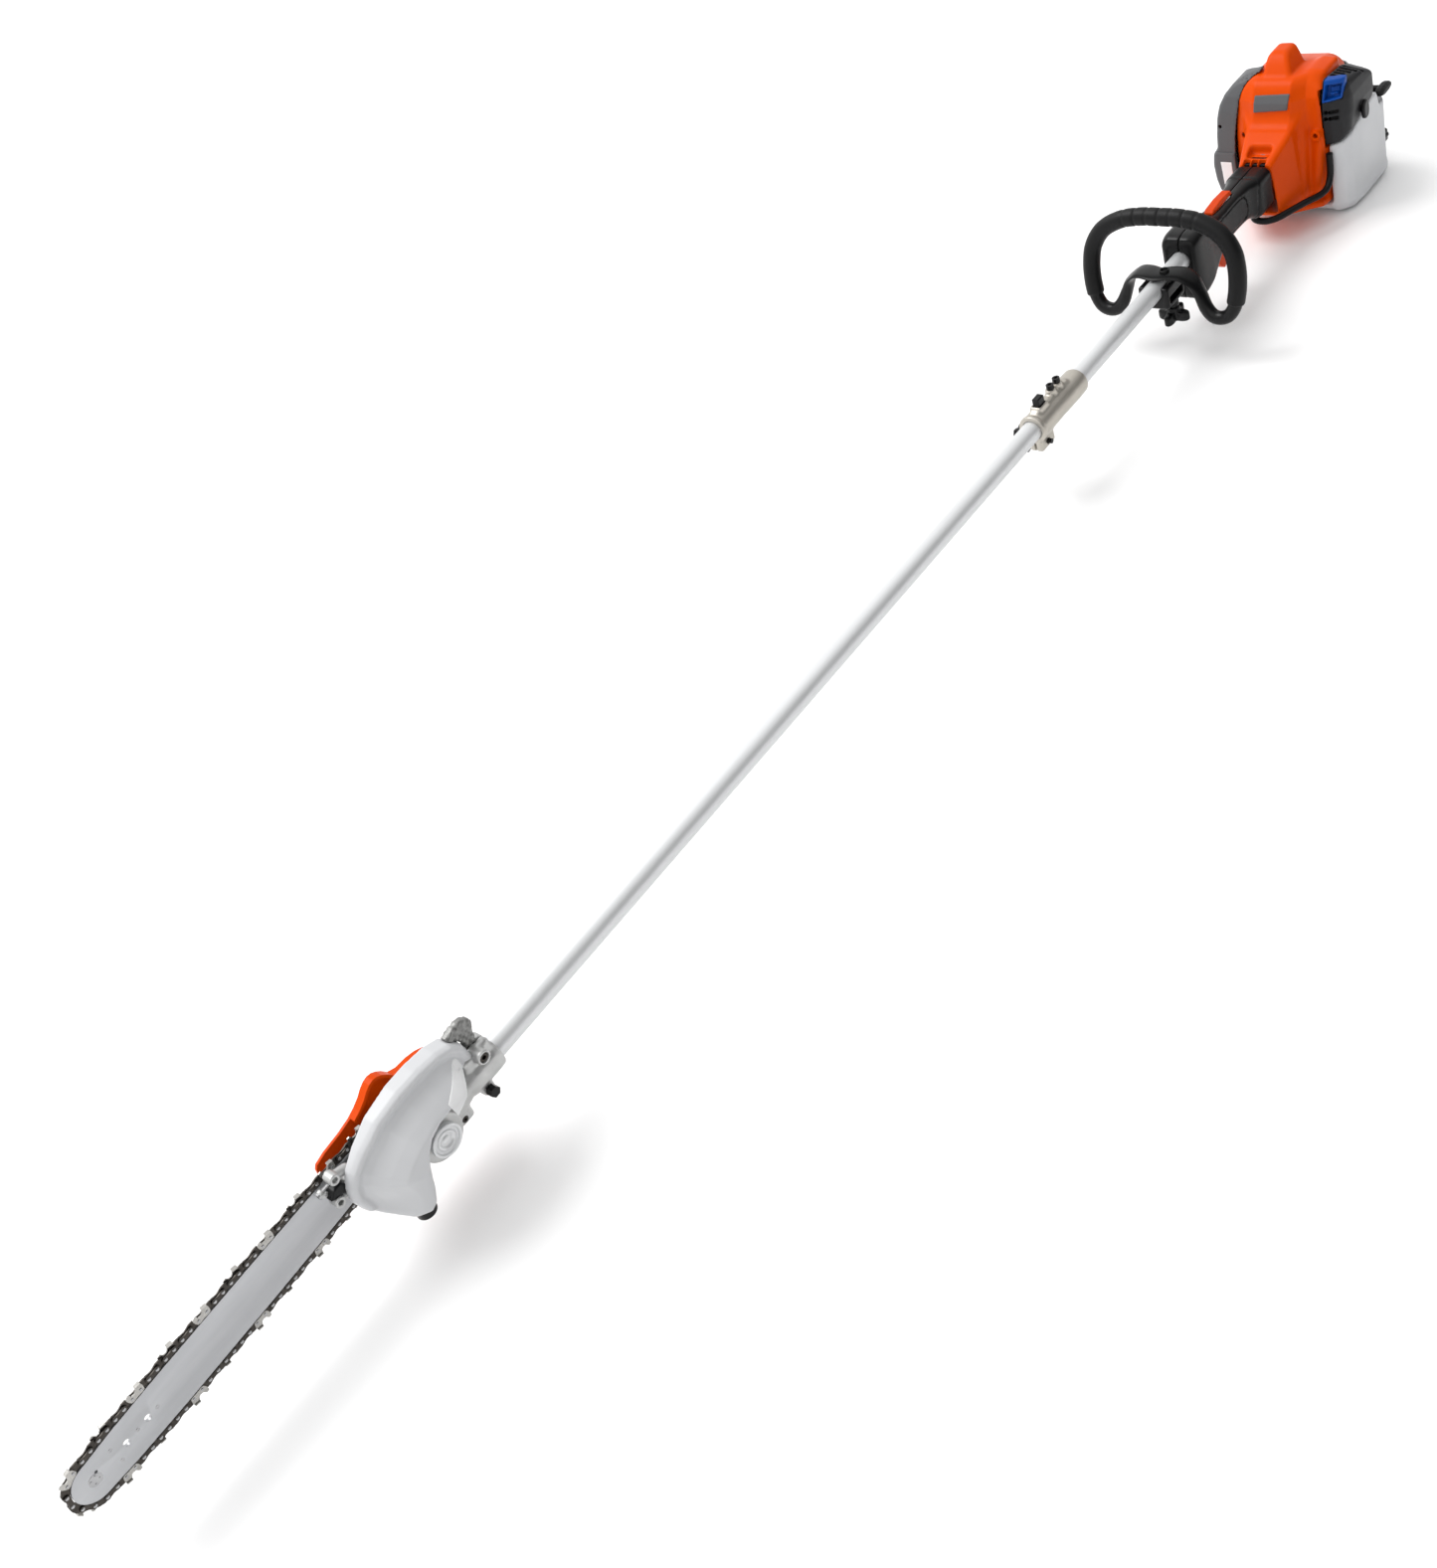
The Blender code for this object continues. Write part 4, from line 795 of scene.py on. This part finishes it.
# Skinned pieces: name, low corner, high corner, step, field, smoothing, look, body, nodes.
POWER_HEAD = (
    ("shroud", (-46, -64, 34), (134, 70, 240), 1.6, shroud_field, 1, "orange",
     "powerhead", ["engine_shroud"]),
    ("front_plate", (52, -28, 170), (76, 28, 201), 0.8, plate_field, 1, "grey_plastic", "powerhead", ()),
    ("silencer_cover", (-52, -98, 44), (68, -24, 218), 1.6, muffler_cover_field, 1, "grey_plastic",
     "powerhead",
     ["muffler_cover"]),
    ("filter_lid", (-38, 52, 112), (58, 98, 212), 1.3, filter_cover_field, 1, "dark_plastic", "powerhead",
     ["air_filter_cover"]),
    ("filter_back", (-68, 52, 116), (52, 63, 196), 1.3, filter_back_field, 1, "black_plastic", "powerhead",
     ["filter_base"]),
    ("choke_frame", (30, 58, 174), (58, 90, 210), 0.8, bezel_field, 1, "blue",
     "powerhead", ["choke_bezel"]),
    ("choke_paddle", (32, 62, 172), (54, 84, 200), 0.7, choke_field, 0, "blue", "choke", ["choke_lever"]),
    ("tank_body", (-86, -58, 14), (56, 94, 150), 2.0, tank_field, 2, "tank_white",
     "powerhead", ["fuel_tank"]),
    ("blank_label", (60, -90, 60), (66, -62, 106), 0.7, label_field, 0, "label", "powerhead", ()),
    # Painted shade: a black piece behind the nose's openings that makes them look dark.
    ("nose_painted_shade", (95, -22, 109), (128, 21, 136), 0.9, nose_painted_shade_field, 0, "black_plastic",
     "powerhead", ()),
)
CONDUIT = ((152, 4, 84), (152, 4, 76), (150.5, 6, 69), (146, 17, 65), (137, 29, 65), (122, 40, 67),
           (101, 54, 69),
           (82, 63, 68), (69, 66.8, 71), (60, 67, 80), (57, 67, 92), (56.5, 67, 112))
CONDUIT_R = 4.4


def show_skins(table):
    for name, low, high, step, field, smooth, look, body, nodes in table:
        show(name, skin(low, high, step, field, smooth), look, body, nodes)


def build_power_head():
    show_skins(POWER_HEAD)
    path = eased(CONDUIT, 6)
    conduit = swept(path, [(CONDUIT_R, CONDUIT_R)] * len(path), 18)
    show("conduit", conduit, "black_rubber", "powerhead", ["control_cable"])


# Grip and loop handle.

GRIP_ROWS = (
    (128.7, -23, 23, 83, 134, 0.26),
    (134, -25, 25, 79, 135, 0.28),
    (160, -25, 25, 79, 136, 0.30),
    (168, -22, 22, 81, 136, 0.32),
    (182, -17.5, 17.5, 87, 136, 0.36),
    (215, -16.5, 16.5, 89, 136, 0.38),
    (245, -17, 17, 88, 137, 0.38),
    (266, -20, 18.5, 82, 140, 0.34),
    (284, -25, 20.5, 72, 146, 0.30),
    (300, -27, 22.5, 65, 150, 0.28),
    (322, -27, 23, 62, 151, 0.28),
    (333, -25, 21, 66, 148, 0.30),
    (337, -22, 18, 72, 143, 0.34),
)


PANEL = ((186, 104), (194, 97), (212, 96), (270, 104), (282, 118), (276, 129), (206, 130), (190, 126))


def grip_field(x, y, z):
    body = both(rows_field(x, y, z, GRIP_ROWS), span(x, 130.2, 336.8), 5)
    body = cut(body, off_axis(y, z) - SLEEVE_R, 0.8)
    body = cut(body, slab(x, y, z, 216, 274, -5.3, 5.3, 60, 104, 0.5), 0.6)
    body = cut(body, slab(x, y, z, 202, 259, -6.3, 6.3, 133, 160, 0.5), 0.6)
    body = cut(body, disc(x, y, z, (152, 4), 5.4, 60, 84, 0.5), 0.8)
    body = cut(body, slab(x, y, z, 293.8, 319, -45, -23.5, 106, 128, 0.5), 0.6)
    # A fine groove round a soft inset panel on both sides.
    panel = np.abs(polygon(x, z, rounded(PANEL))) - 0.8
    body = cut(body, both(panel, 14.5 - np.abs(y), 0.2), 0.6)
    # The ring line where the collar meets the neck.
    ring = both(np.abs(x - 168 + (z - 100) * 0.12) - 0.8, -rows_field(x, y, z, GRIP_ROWS) - 1.2, 0.2)
    return cut(body, ring, 0.5)


HALF_LOOP = [(0, 135.8), (18, 135.4), (32, 132), (43, 122), (50, 107), (57, 91), (66, 81), (77, 79), (88, 84),
             (96, 98), (99, 117), (99, 139), (94, 161), (79, 181), (54, 193.5), (27, 198), (0, 198.5)]
LOOP_X = 381.6
LOOP_LEAN = 0.187
BRIDGE_TOP = 150  # the loop's bridge and its feet are under this height


def loop_path():
    """The loop handle's centre line: from its bridge, round the grip and back."""
    other = [(-y, z) for y, z in HALF_LOOP[-2:0:-1]]
    points = []
    for y, z in HALF_LOOP + other:
        forward = 14 * max(0.0, 1 - abs(y) / 50) if z < BRIDGE_TOP else 0.0
        points.append((LOOP_X + forward - LOOP_LEAN * (z - AXIS_Z), y, z))
    return points


def clamp_field(x, y, z):
    body = slab(x, y, z, 366, 410, -20, 20, 97, 126, 3.5)
    body = join(body, disc(x, y, z, KNOB_AXIS, 8, 84, 98, 1), 2)
    body = cut(body, off_axis(y, z) - SLEEVE_R, 0.8)
    body = cut(body, slab(x, y, z, 372, 404, 12, 30, 103, 112, 1), 1)
    return cut(body, disc(x, y, z, KNOB_AXIS, 3.3, 70, 104.4, 0.3), 0.3)


def knob_field(x, y, z):
    dx, dy = x - KNOB_AXIS[0], y - KNOB_AXIS[1]
    away = np.sqrt(dx * dx + dy * dy)
    angle = np.arctan2(dy, dx)
    wings = away - (14.5 + 6.5 * np.cos(4 * angle))
    body = rim(wings, span(z, 64.5, 77), 3)
    body = join(body, rim(away - 8.4, span(z, 66, 83.4), 2), 3)
    return join(body, rim(away - 3, span(z, 80, 103), 0.3), 0)


def left_half(x, y, z):
    return both(grip_field(x, y, z), span(y, 0.15, 60), 0.5)


def right_half(x, y, z):
    return both(grip_field(x, y, z), span(y, -60, -0.15), 0.5)


GRIP = (
    ("grip_left", (124, -2.85, 48), (341, 35, 158), 1.4, left_half, 1, "black_plastic", "powerhead",
     ["grip_left_shell"]),
    ("grip_right", (124, -35, 48), (341, 2.85, 158), 1.4, right_half, 1, "black_plastic", "powerhead",
     ["grip_right_shell"]),
)
CLAMP = (
    ("loop_clamp", (362, -24, 80), (414, 24, 130), 1.2, clamp_field, 1, "black_plastic", "front_handle",
     ["handle_clamp"]),
    ("clamp_wing_knob", (352, -20, 54), (404, 32, 106), 1.1, knob_field, 1, "black_plastic", "clamp_knob",
     ["handle_knob"]),
)
LOOP_R = 8.6
GRIP_R, GRIP_BORE, GRIP_END_R = 11.0, 9.1, 9.9
GROOVE_DEPTH, GROOVE_PITCH = 0.95, 16
GROOVED_Z, GROOVED_Y = 185, 56
BRIDGE_SCREW = ((136, 0), (136, 6.2), (141.4, 6.0), (142, 5.2), (141.7, 4.4), (139.6, 3.8), (139.4, 0))


def loop_band(y, z):
    """Half the loop's width and thickness: round, and flattened along its bridge."""
    flat = max(0.0, min(1.0, (60 - abs(y)) / 26)) if z < BRIDGE_TOP else 0.0
    flat = flat * flat * (3 - 2 * flat)
    return LOOP_R + flat * 6.4, LOOP_R - flat * 5.4


def grip_radius(y, z):
    """The rubber sleeve's radius, with finger grooves along the top of the loop."""
    if z <= GROOVED_Z or abs(y) >= GROOVED_Y:
        return GRIP_R
    ease = min(1.0, (GROOVED_Y - abs(y)) / 10)
    return GRIP_R - GROOVE_DEPTH * max(0.0, math.cos(2 * math.pi * y / GROOVE_PITCH)) ** 7 * ease


def build_handles():
    show_skins(GRIP)
    path = loop_path()
    smooth = closed_curve(path, 6)
    core = swept(smooth, [loop_band(y, z) for _, y, z in smooth], 28, closed=True, first_side=(1, 0, 0))
    show("loop_core", core, "black_plastic", "front_handle", ["loop_handle"])
    sleeve = eased(path[9:24], 16)
    radii = [(grip_radius(y, z),) * 2 for _, y, z in sleeve]
    for k in range(3):
        radii[k] = radii[-1 - k] = (GRIP_END_R + 0.4 * k,) * 2
    rubber = swept(sleeve, radii, 28, first_side=(1, 0, 0), bore=GRIP_BORE)
    show("loop_grip", rubber, "black_rubber", "front_handle", ["loop_sleeve"])
    show("bridge_screw", turned("z", (390, 9), BRIDGE_SCREW, 32), "black_rubber", "front_handle")
    show_skins(CLAMP)


# Guide bar and chain.


def rail_height(x):
    for (x0, h0), (x1, h1) in zip(RAIL, RAIL[1:]):
        if x <= x1:
            t = (x - x0) / (x1 - x0)
            t = t * t * (3 - 2 * t) * 0.35 + t * 0.65
            return h0 + (h1 - h0) * t
    return RAIL[-1][1]


def tilted(x, z):
    dx, dz = x - SPROCKET_X, z - AXIS_Z
    return (SPROCKET_X + dx * math.cos(BAR_TILT) + dz * math.sin(BAR_TILT),
            AXIS_Z - dx * math.sin(BAR_TILT) + dz * math.cos(BAR_TILT))


def loop_point(share, offset, tail_x):
    straight = NOSE_X - tail_x
    nose = math.pi * NOSE_R
    tail_r = rail_height(tail_x)
    distance = share * (2 * straight + nose + math.pi * tail_r)
    if distance < straight:
        x = tail_x + distance
        return tilted(x, AXIS_Z + rail_height(x) + offset)
    distance -= straight
    if distance < nose:
        angle = math.pi / 2 - distance / NOSE_R
        reach = NOSE_R + offset
        return tilted(NOSE_X + reach * math.cos(angle), AXIS_Z + reach * math.sin(angle))
    distance -= nose
    if distance < straight:
        x = NOSE_X - distance
        return tilted(x, AXIS_Z - rail_height(x) - offset)
    angle = -math.pi / 2 - (distance - straight) / tail_r
    reach = tail_r + offset
    return tilted(tail_x + reach * math.cos(angle), AXIS_Z + reach * math.sin(angle))


# Chain plates are (along the chain, away from the bar).
STRAP = [(-4.8, -3.0), (-2.2, -2.6), (0, -2.5), (2.2, -2.6), (4.8, -3.0), (7.2, -2.2), (8.0, 0), (7.2, 2.3),
         (5.2, 3.1), (2.4, 2.2), (0, 1.9), (-2.4, 2.2), (-5.2, 3.1), (-7.2, 2.3), (-8.0, 0), (-7.2, -2.2)]
DRIVE = [(-7.4, -2.6), (-3.4, -3.2), (3.4, -3.2), (7.4, -2.6), (8.1, 0.2), (6.6, 3.2), (3.0, 4.9),
         (-2.0, 4.6), (-6.4, 3.0), (-8.1, 0.2)]
CUTTER = [(-7.8, 0.2), (-7.0, -2.4), (-4.8, -3.0), (0, -2.5), (4.8, -3.0), (7.2, -2.3), (8.2, 0.4),
          (8.6, 3.4), (8.2, 6.2), (5.6, 6.7), (4.6, 5.2), (3.4, 2.8), (0.6, 2.2), (-1.4, 3.4), (-2.2, 5.4),
          (-3.2, 6.3), (-7.4, 5.4), (-8.3, 3.0)]
CUTTER_TOP = [(-8.2, 5.2), (-8.0, 6.2), (-3.2, 7.1), (-2.6, 6.1), (-7.8, 4.9)]
CHAIN_OFFSET = 3.7  # of the rivets from the bar's edge
RIVET = ((-2.5, 0), (-2.45, 1.2), (-2.0, 1.75), (2.0, 1.75), (2.45, 1.2), (2.5, 0))
NEAR_SIDE, FAR_SIDE = (0.72, 1.95), (-1.95, -0.72)
BAR_HALF = 1.9
BAR_STEPS = 220


def plate_at(outline, low, high, spot, ahead):
    """A flat chain plate between two distances from the bar's middle."""
    along = Vector((ahead[0], ahead[1])).normalized()
    out = Vector((-along.y, along.x))
    flat = [(spot[0] + along.x * u + out.x * v, spot[1] + along.y * u + out.y * v) for u, v in outline]
    return prism("y", flat, BAR_Y + low, BAR_Y + high)


def build_chain():
    dark, bright, pins = [], [], []
    spots = [loop_point(k / LINKS, CHAIN_OFFSET, SPROCKET_X) for k in range(LINKS)]
    for k in range(LINKS):
        here, following = Vector(spots[k]), Vector(spots[(k + 1) % LINKS])
        middle = (here + following) / 2
        ahead = following - here
        if k % 2:
            dark.append(plate_at(DRIVE, -0.64, 0.64, middle, ahead))
        elif k % 4 == 0:
            left = k % 8 == 0
            bright.append(plate_at(CUTTER, *(NEAR_SIDE if left else FAR_SIDE), middle, ahead))
            dark.append(plate_at(STRAP, *(FAR_SIDE if left else NEAR_SIDE), middle, ahead))
            bright.append(plate_at(CUTTER_TOP, *((-0.9, 3.1) if left else (-3.1, 0.9)), middle, ahead))
        else:
            dark.append(plate_at(STRAP, *NEAR_SIDE, middle, ahead))
            dark.append(plate_at(STRAP, *FAR_SIDE, middle, ahead))
        pins.append(turned("y", spots[k], [(BAR_Y + along, radius) for along, radius in RIVET], 10))
    show("chain_straps", joined(dark), "dark_steel", "attachment", ["saw_chain"])
    show("chain_cutters", joined(bright), "cutter_steel", "attachment")
    show("chain_rivets", joined(pins), "steel", "attachment")


def bar_rivet(centre, side, profile, steps):
    """A rivet head on one side of the bar; its profile is (out from the bar, radius)."""
    edge = BAR_Y + side * 1.85
    return turned("y", centre, [(edge + side * out, radius) for out, radius in profile], steps)


def build_bar():
    outline = [loop_point(k / BAR_STEPS, 0.0, 1805.0) for k in range(BAR_STEPS)]
    bar = prism("y", outline, BAR_Y - BAR_HALF, BAR_Y + BAR_HALF)
    slot = [tilted(1806 + x, AXIS_Z + z) for x, z in ((-18, -4.5), (14, -4.5), (14, 4.5), (-18, 4.5))]
    tools = [prism("y", slot, BAR_Y - 5, BAR_Y + 5)]
    for x, z, radius in ((2072.6, 0, 3.4), (2096.4, 0, 3.4), (2126, 5.7, 1.4)):
        tools.append(prism("y", circle(radius, tilted(x, AXIS_Z + z), 28), BAR_Y - 5, BAR_Y + 5))
    cut_away(bar, tools)
    bevel(bar, 0.35, 2, 50)
    show("bar_blade", bar, "bar_steel", "attachment", ["guide_bar"])
    pins = []
    a, b = tilted(NOSE_X, AXIS_Z)
    for side in (1, -1):
        pins.append(bar_rivet((a, b), side, [(0, 0), (0.02, 6.4), (0.3, 6.1), (0.34, 0)], 48))
        for k in range(4):
            angle = 0.5 + k * math.pi / 2
            spot = (a + 4.0 * math.cos(angle), b + 4.0 * math.sin(angle))
            pins.append(bar_rivet(spot, side, [(0, 0), (0.3, 1.3), (0.62, 0.9), (0.66, 0)], 14))
        for x, z in ((2084, 0), (2062, 0), (2108, 9), (2108, -9)):
            spot = tilted(x, AXIS_Z + z)
            pins.append(bar_rivet(spot, side, [(0, 0), (0.05, 1.9), (0.3, 1.5), (0.34, 0)], 16))
    show("bar_nose_rivets", joined(pins), "steel", "attachment")


# Saw head.

HOUSING = [(1684, 146), (1687, 164), (1697, 175), (1712, 181), (1736, 184), (1760, 183.5), (1790, 177),
           (1814, 164), (1831, 151), (1840, 138), (1843.5, 122), (1840, 106), (1831, 92), (1817, 80),
           (1803, 76), (1794, 82), (1788, 95), (1784, 108), (1780, 119), (1774, 130), (1765, 138),
           (1752, 143), (1738, 144), (1704, 146)]
HOUSING_TOP = HOUSING[:12]
PLATE = [(1700, 90), (1700, 146), (1738, 149), (1770, 142), (1800, 137), (1828, 137), (1838, 132),
         (1840, 114), (1830, 98), (1806, 84), (1738, 80)]
HOOK = [(1671, 136), (1670, 152), (1668.5, 160), (1664.5, 167), (1666, 174), (1675, 180.5), (1689, 178.5),
        (1697, 176.5), (1695, 170), (1689, 165), (1683, 158), (1686, 148), (1688, 136)]
LABEL = [(1698.6, 150.5), (1699.0, 163.0), (1704.0, 165.0), (1738.0, 152.6), (1737.5, 137.5)]
CATCHER = [(1834, 137), (1840, 146), (1849, 146), (1856, 139), (1846, 134)]
FACE_SLOPE = 0.86  # turns a step in y into about the distance from the housing's sloping face
LUG_BORE = (1690, 101.5)
SPOUT = (-17, 144.2)  # y and z of the boss beside the ears
EARS = ((1842.4, 155.8), (1850.6, 132.0))


def housing_face(x, z):
    """How far the white housing stands out to the left: a rim along its top, a valley, then a bulge."""
    away = edge_distance(x, z, HOUSING_TOP)
    rim_y = np.interp(x, (1690, 1750, 1800, 1825, 1845), (14, 13.5, 10, 6, 2.5))
    steps = (0, 2, 4, 6, 8, 10.5, 16, 26, 36, 48, 60)
    rise = (-5, -1.2, 0, 0.2, -0.9, -1.6, 2.4, 15, 25, 30, 32)
    return join(rim_y + np.interp(away, steps, rise), 41.0, 8)


def housing_field(x, y, z):
    corner = np.interp(edge_distance(x, z, HOUSING_TOP), (0, 10, 26), (2.0, 4.5, 8.0))
    body = rim(polygon(x, z, HOUSING), (y - housing_face(x, z)) * FACE_SLOPE, corner)
    body = both(body, -8.4 - y, 0.6)
    return cut(body, disc(x, z, y, GEAR_AXIS, 20.2, 14, 60, 0.5), 0.6)


def housing_label_field(x, y, z):
    proud = span((y - housing_face(x, z)) * FACE_SLOPE, -1.0, 0.7)
    return rim(polygon(x, z, LABEL) + 1.0, proud, 0.6)


def catcher_field(x, y, z):
    return rim(polygon(x, z, CATCHER), span(y, -15.5, -5.5), 1.2)


def casting_field(x, y, z):
    away = off_axis(y, z)
    stations = (1662, 1700, 1706, 1720, 1742, 1762, 1776, 1780)
    radius = np.interp(x, stations, (17.3, 17.3, 15.6, 18.5, 21.5, 22, 18, 10))
    body = both(away - radius, span(x, 1662, 1779), 3)
    body = join(body, disc(x, z, y, GEAR_AXIS, 24, -15, 26, 2), 5)
    body = join(body, rim(polygon(x, z, PLATE), span(y, -25.5, -9), 2), 3)
    body = join(body, slab(x, y, z, 1794, 1832, -28.8, -9, 107, 130, 1), 1)
    # The clamp: a saddle over the tube, split along its top, with a boss for its screw.
    body = join(body, slab(x, y, z, 1664, 1700, -11, 13, 126, 149, 6), 4)
    body = join(body, disc(x, z, y, CLAMP_SCREW, 7.6, -12, 22, 1.2), 2)
    body = join(body, slab(x, y, z, 1666, 1698, 5, 17, 112, 132, 5), 5)
    body = join(body, disc(x, z, y, LUG_BORE, 7.2, -2, 12, 1), 4)
    body = join(body, slab(x, y, z, 1712, 1732, -6, 10, 90, 106, 4), 5)
    body = join(body, disc(x, z, y, LUG_SCREW, 5.2, 0, 17, 1), 3)
    for (ex, ez), (rx, rz) in zip(EARS, ((1828, 148), (1836, 126))):
        body = join(body, line_field(x, y, z, (ex, -11, ez), (rx, -12, rz), 3.6, 5.0), 2)
        body = join(body, disc(x, z, y, (ex, ez), 5.6, -15, -3, 0.9), 1.0)
    body = join(body, line_field(x, y, z, (1856, *SPOUT), (1838, -16, 130), 4.4, 6.0), 2)
    body = join(body, disc(x, z, y, (1806, 118.3), 4, -56, -12, 0.6), 0.5)
    body = cut(body, both(away - SLEEVE_R, x - 1692, 0.3), 0.3)
    body = cut(body, slab(x, y, z, 1655, 1700, 3.4, 4.9, 126, 170, 0.3), 0.4)
    body = cut(body, disc(x, z, y, CLAMP_SCREW, 4.9, 15.5, 30, 0.4), 0.5)
    body = cut(body, disc(x, z, y, LUG_SCREW, 3.2, 12, 30, 0.4), 0.4)
    body = cut(body, disc(x, z, y, LUG_BORE, 3.3, 3, 20, 0.3), 0.3)
    body = cut(body, disc(x, z, y, GEAR_AXIS, 6.5, -40, -6, 0.3), 0.3)
    for spot in EARS:
        body = cut(body, disc(x, z, y, spot, 2.6, -30, 0, 0.4), 0.4)
    return cut(body, disc(y, z, x, SPOUT, 2.8, 1846, 1870, 0.4), 0.4)


def hook_field(x, y, z):
    waves = np.sin(x * 0.9 + z * 0.35) * np.sin(z * 0.75 - x * 0.2) * 0.7
    flat = polygon(x, z, rounded(HOOK)) + 0.4
    thick = np.interp(z, (136, 150, 160, 172, 181), (5.0, 4.6, 4.2, 5.0, 3.6))
    return rim(flat + waves * 0.6, np.abs(y) - thick + waves, 2.6)


def socket_screw(centre, radius, low, high, socket):
    """A cap screw along Y from low to high, where its socket is."""
    shank = radius * 0.6
    profile = [(low, 0), (low, shank), (high - 5, shank), (high - 5, radius), (high - 0.6, radius),
               (high, radius - 0.6), (high, socket), (high - 3, socket * 0.94), (high - 3.2, 0)]
    return turned("y", centre, profile, 28)


def coupling_field(x, y, z):
    away = off_axis(y, z)
    radius = np.interp(x, (597, 600, 614, 640, 690, 700), (15.4, 16.6, 17.0, 16.6, 16.4, 15.8))
    body = both(away - radius, span(x, 597, 700), 2)
    body = join(body, slab(x, y, z, 622, 690, -5.5, 5.5, 126, 138.5, 2.5), 5)
    for spot in (636, 650):
        body = join(body, disc(x, y, z, (spot, 0), 6.4, 128, 143.5, 1), 2.5)
    body = join(body, slab(x, y, z, 668, 687, -7.5, 7.5, 126, 142, 2.5), 2.5)
    body = join(body, slab(x, y, z, 669, 699, -10.5, 8, 88.5, 114, 4), 5)
    body = join(body, both(away - 17.6, span(x, 694, 700), 1), 1)
    body = cut(body, away - SLEEVE_R, 0.3)
    body = cut(body, slab(x, y, z, 664, 705, -2.6, -0.2, 80, 109.3, 0.3), 0.4)
    body = cut(body, slab(x, y, z, 669.9, 684.1, -5.1, 5.1, 134, 160, 0.3), 0.3)
    body = cut(body, slab(x, y, z, 640, 660, 11, 20, 108, 111, 0.8), 0.6)
    return cut(body, disc(x, z, y, (684, 96), 3.6, -20, 20, 0.3), 0.3)


SAW_HEAD = (
    ("white_housing", (1684, -12, 68), (1850, 46, 190), 1.2, housing_field, 2, "white_plastic",
     "attachment",
     ["oil_tank"]),
    ("housing_label", (1694, 8, 132), (1744, 44, 170), 0.8, housing_label_field, 0, "label",
     "attachment", ()),
    ("gear_casting", (1656, -60, 74), (1864, 30, 166), 1.3, casting_field, 1, "cast_metal", "attachment",
     ["gear_housing"]),
    ("branch_hook", (1658, -8, 132), (1702, 8, 185), 0.9, hook_field, 0, "rough_cast", "attachment",
     ["cast_hook"]),
)
CATCHER_SKIN = (
    ("chain_catcher", (1828, -20, 128), (1862, 0, 152), 0.9, catcher_field, 0, "black_plastic",
     "attachment", ()),
)
COUPLING_SKIN = (
    ("coupling", (593, -22, 84), (704, 22, 148), 1.0, coupling_field, 1, "champagne", "powerhead",
     ["coupling_body"]),
)
GEAR_CAP = ((17, 0), (17, 15.8), (28.0, 15.8), (30.6, 16.6), (32.4, 16.4), (32.9, 15.4), (32.6, 14.2),
            (30.4, 13.2), (30.0, 12.0), (30.4, 10.6), (31.6, 9.6), (31.8, 8.2), (31.2, 7.0), (30.2, 6.2),
            (30.2, 5.0), (31.0, 4.2), (31.6, 2.6), (31.7, 0))
OIL_CAP = ((64.5, 0), (64.5, 8.6), (66, 10.2), (78, 10.2), (80, 8), (82, 7), (82, 0))
TUBES = (
    ("tube_upper", 133, 647, "powerhead", "upper_tube"),
    ("tube_lower", 649, 1690, "attachment", "lower_tube"),
)


def build_saw_head():
    show_skins(SAW_HEAD)
    show("gear_cap", turned("y", GEAR_AXIS, GEAR_CAP, 64), "aluminium", "attachment", ["gearbox_cap"])
    show_skins(CATCHER_SKIN)
    show("oil_filler_cap", turned("z", (1803, 18), OIL_CAP, 40), "black_plastic", "oil_filler", ["oil_cap"])
    screw = socket_screw(CLAMP_SCREW, 4.7, 2, 21.0, 2.3)
    show("clamp_screw", screw, "dark_steel", "attachment", ["clamp_bolt_rear"])
    screw = socket_screw(LUG_SCREW, 3.0, 4, 17.0, 1.4)
    show("lug_screw", screw, "dark_steel", "attachment", ["clamp_bolt_front"])


def build_tubes():
    show_skins(COUPLING_SKIN)
    for name, low, high, body, node in TUBES:
        tube = swept([(low, 0, AXIS_Z), (high, 0, AXIS_Z)], [(TUBE_R, TUBE_R)] * 2, 72, bore=TUBE_BORE)
        show(name, tube, "aluminium", body, [node])


# Finishes of the CAD nodes that stay.


def paint_nodes():
    look_of = {slot: look for look, slot in SLOTS.items() if look != "cutter_steel"}
    for entry in frame["record"]["subparts"]:
        obj = frame["nodes"][entry["node"]]
        if obj.hide_render:
            continue
        obj.data.materials.clear()
        obj.data.materials.append(FINISHES[look_of[entry["material_slot"]]])


set_camera()
set_light()
set_floor()
build_power_head()
build_handles()
build_bar()
build_chain()
build_saw_head()
build_tubes()
paint_nodes()
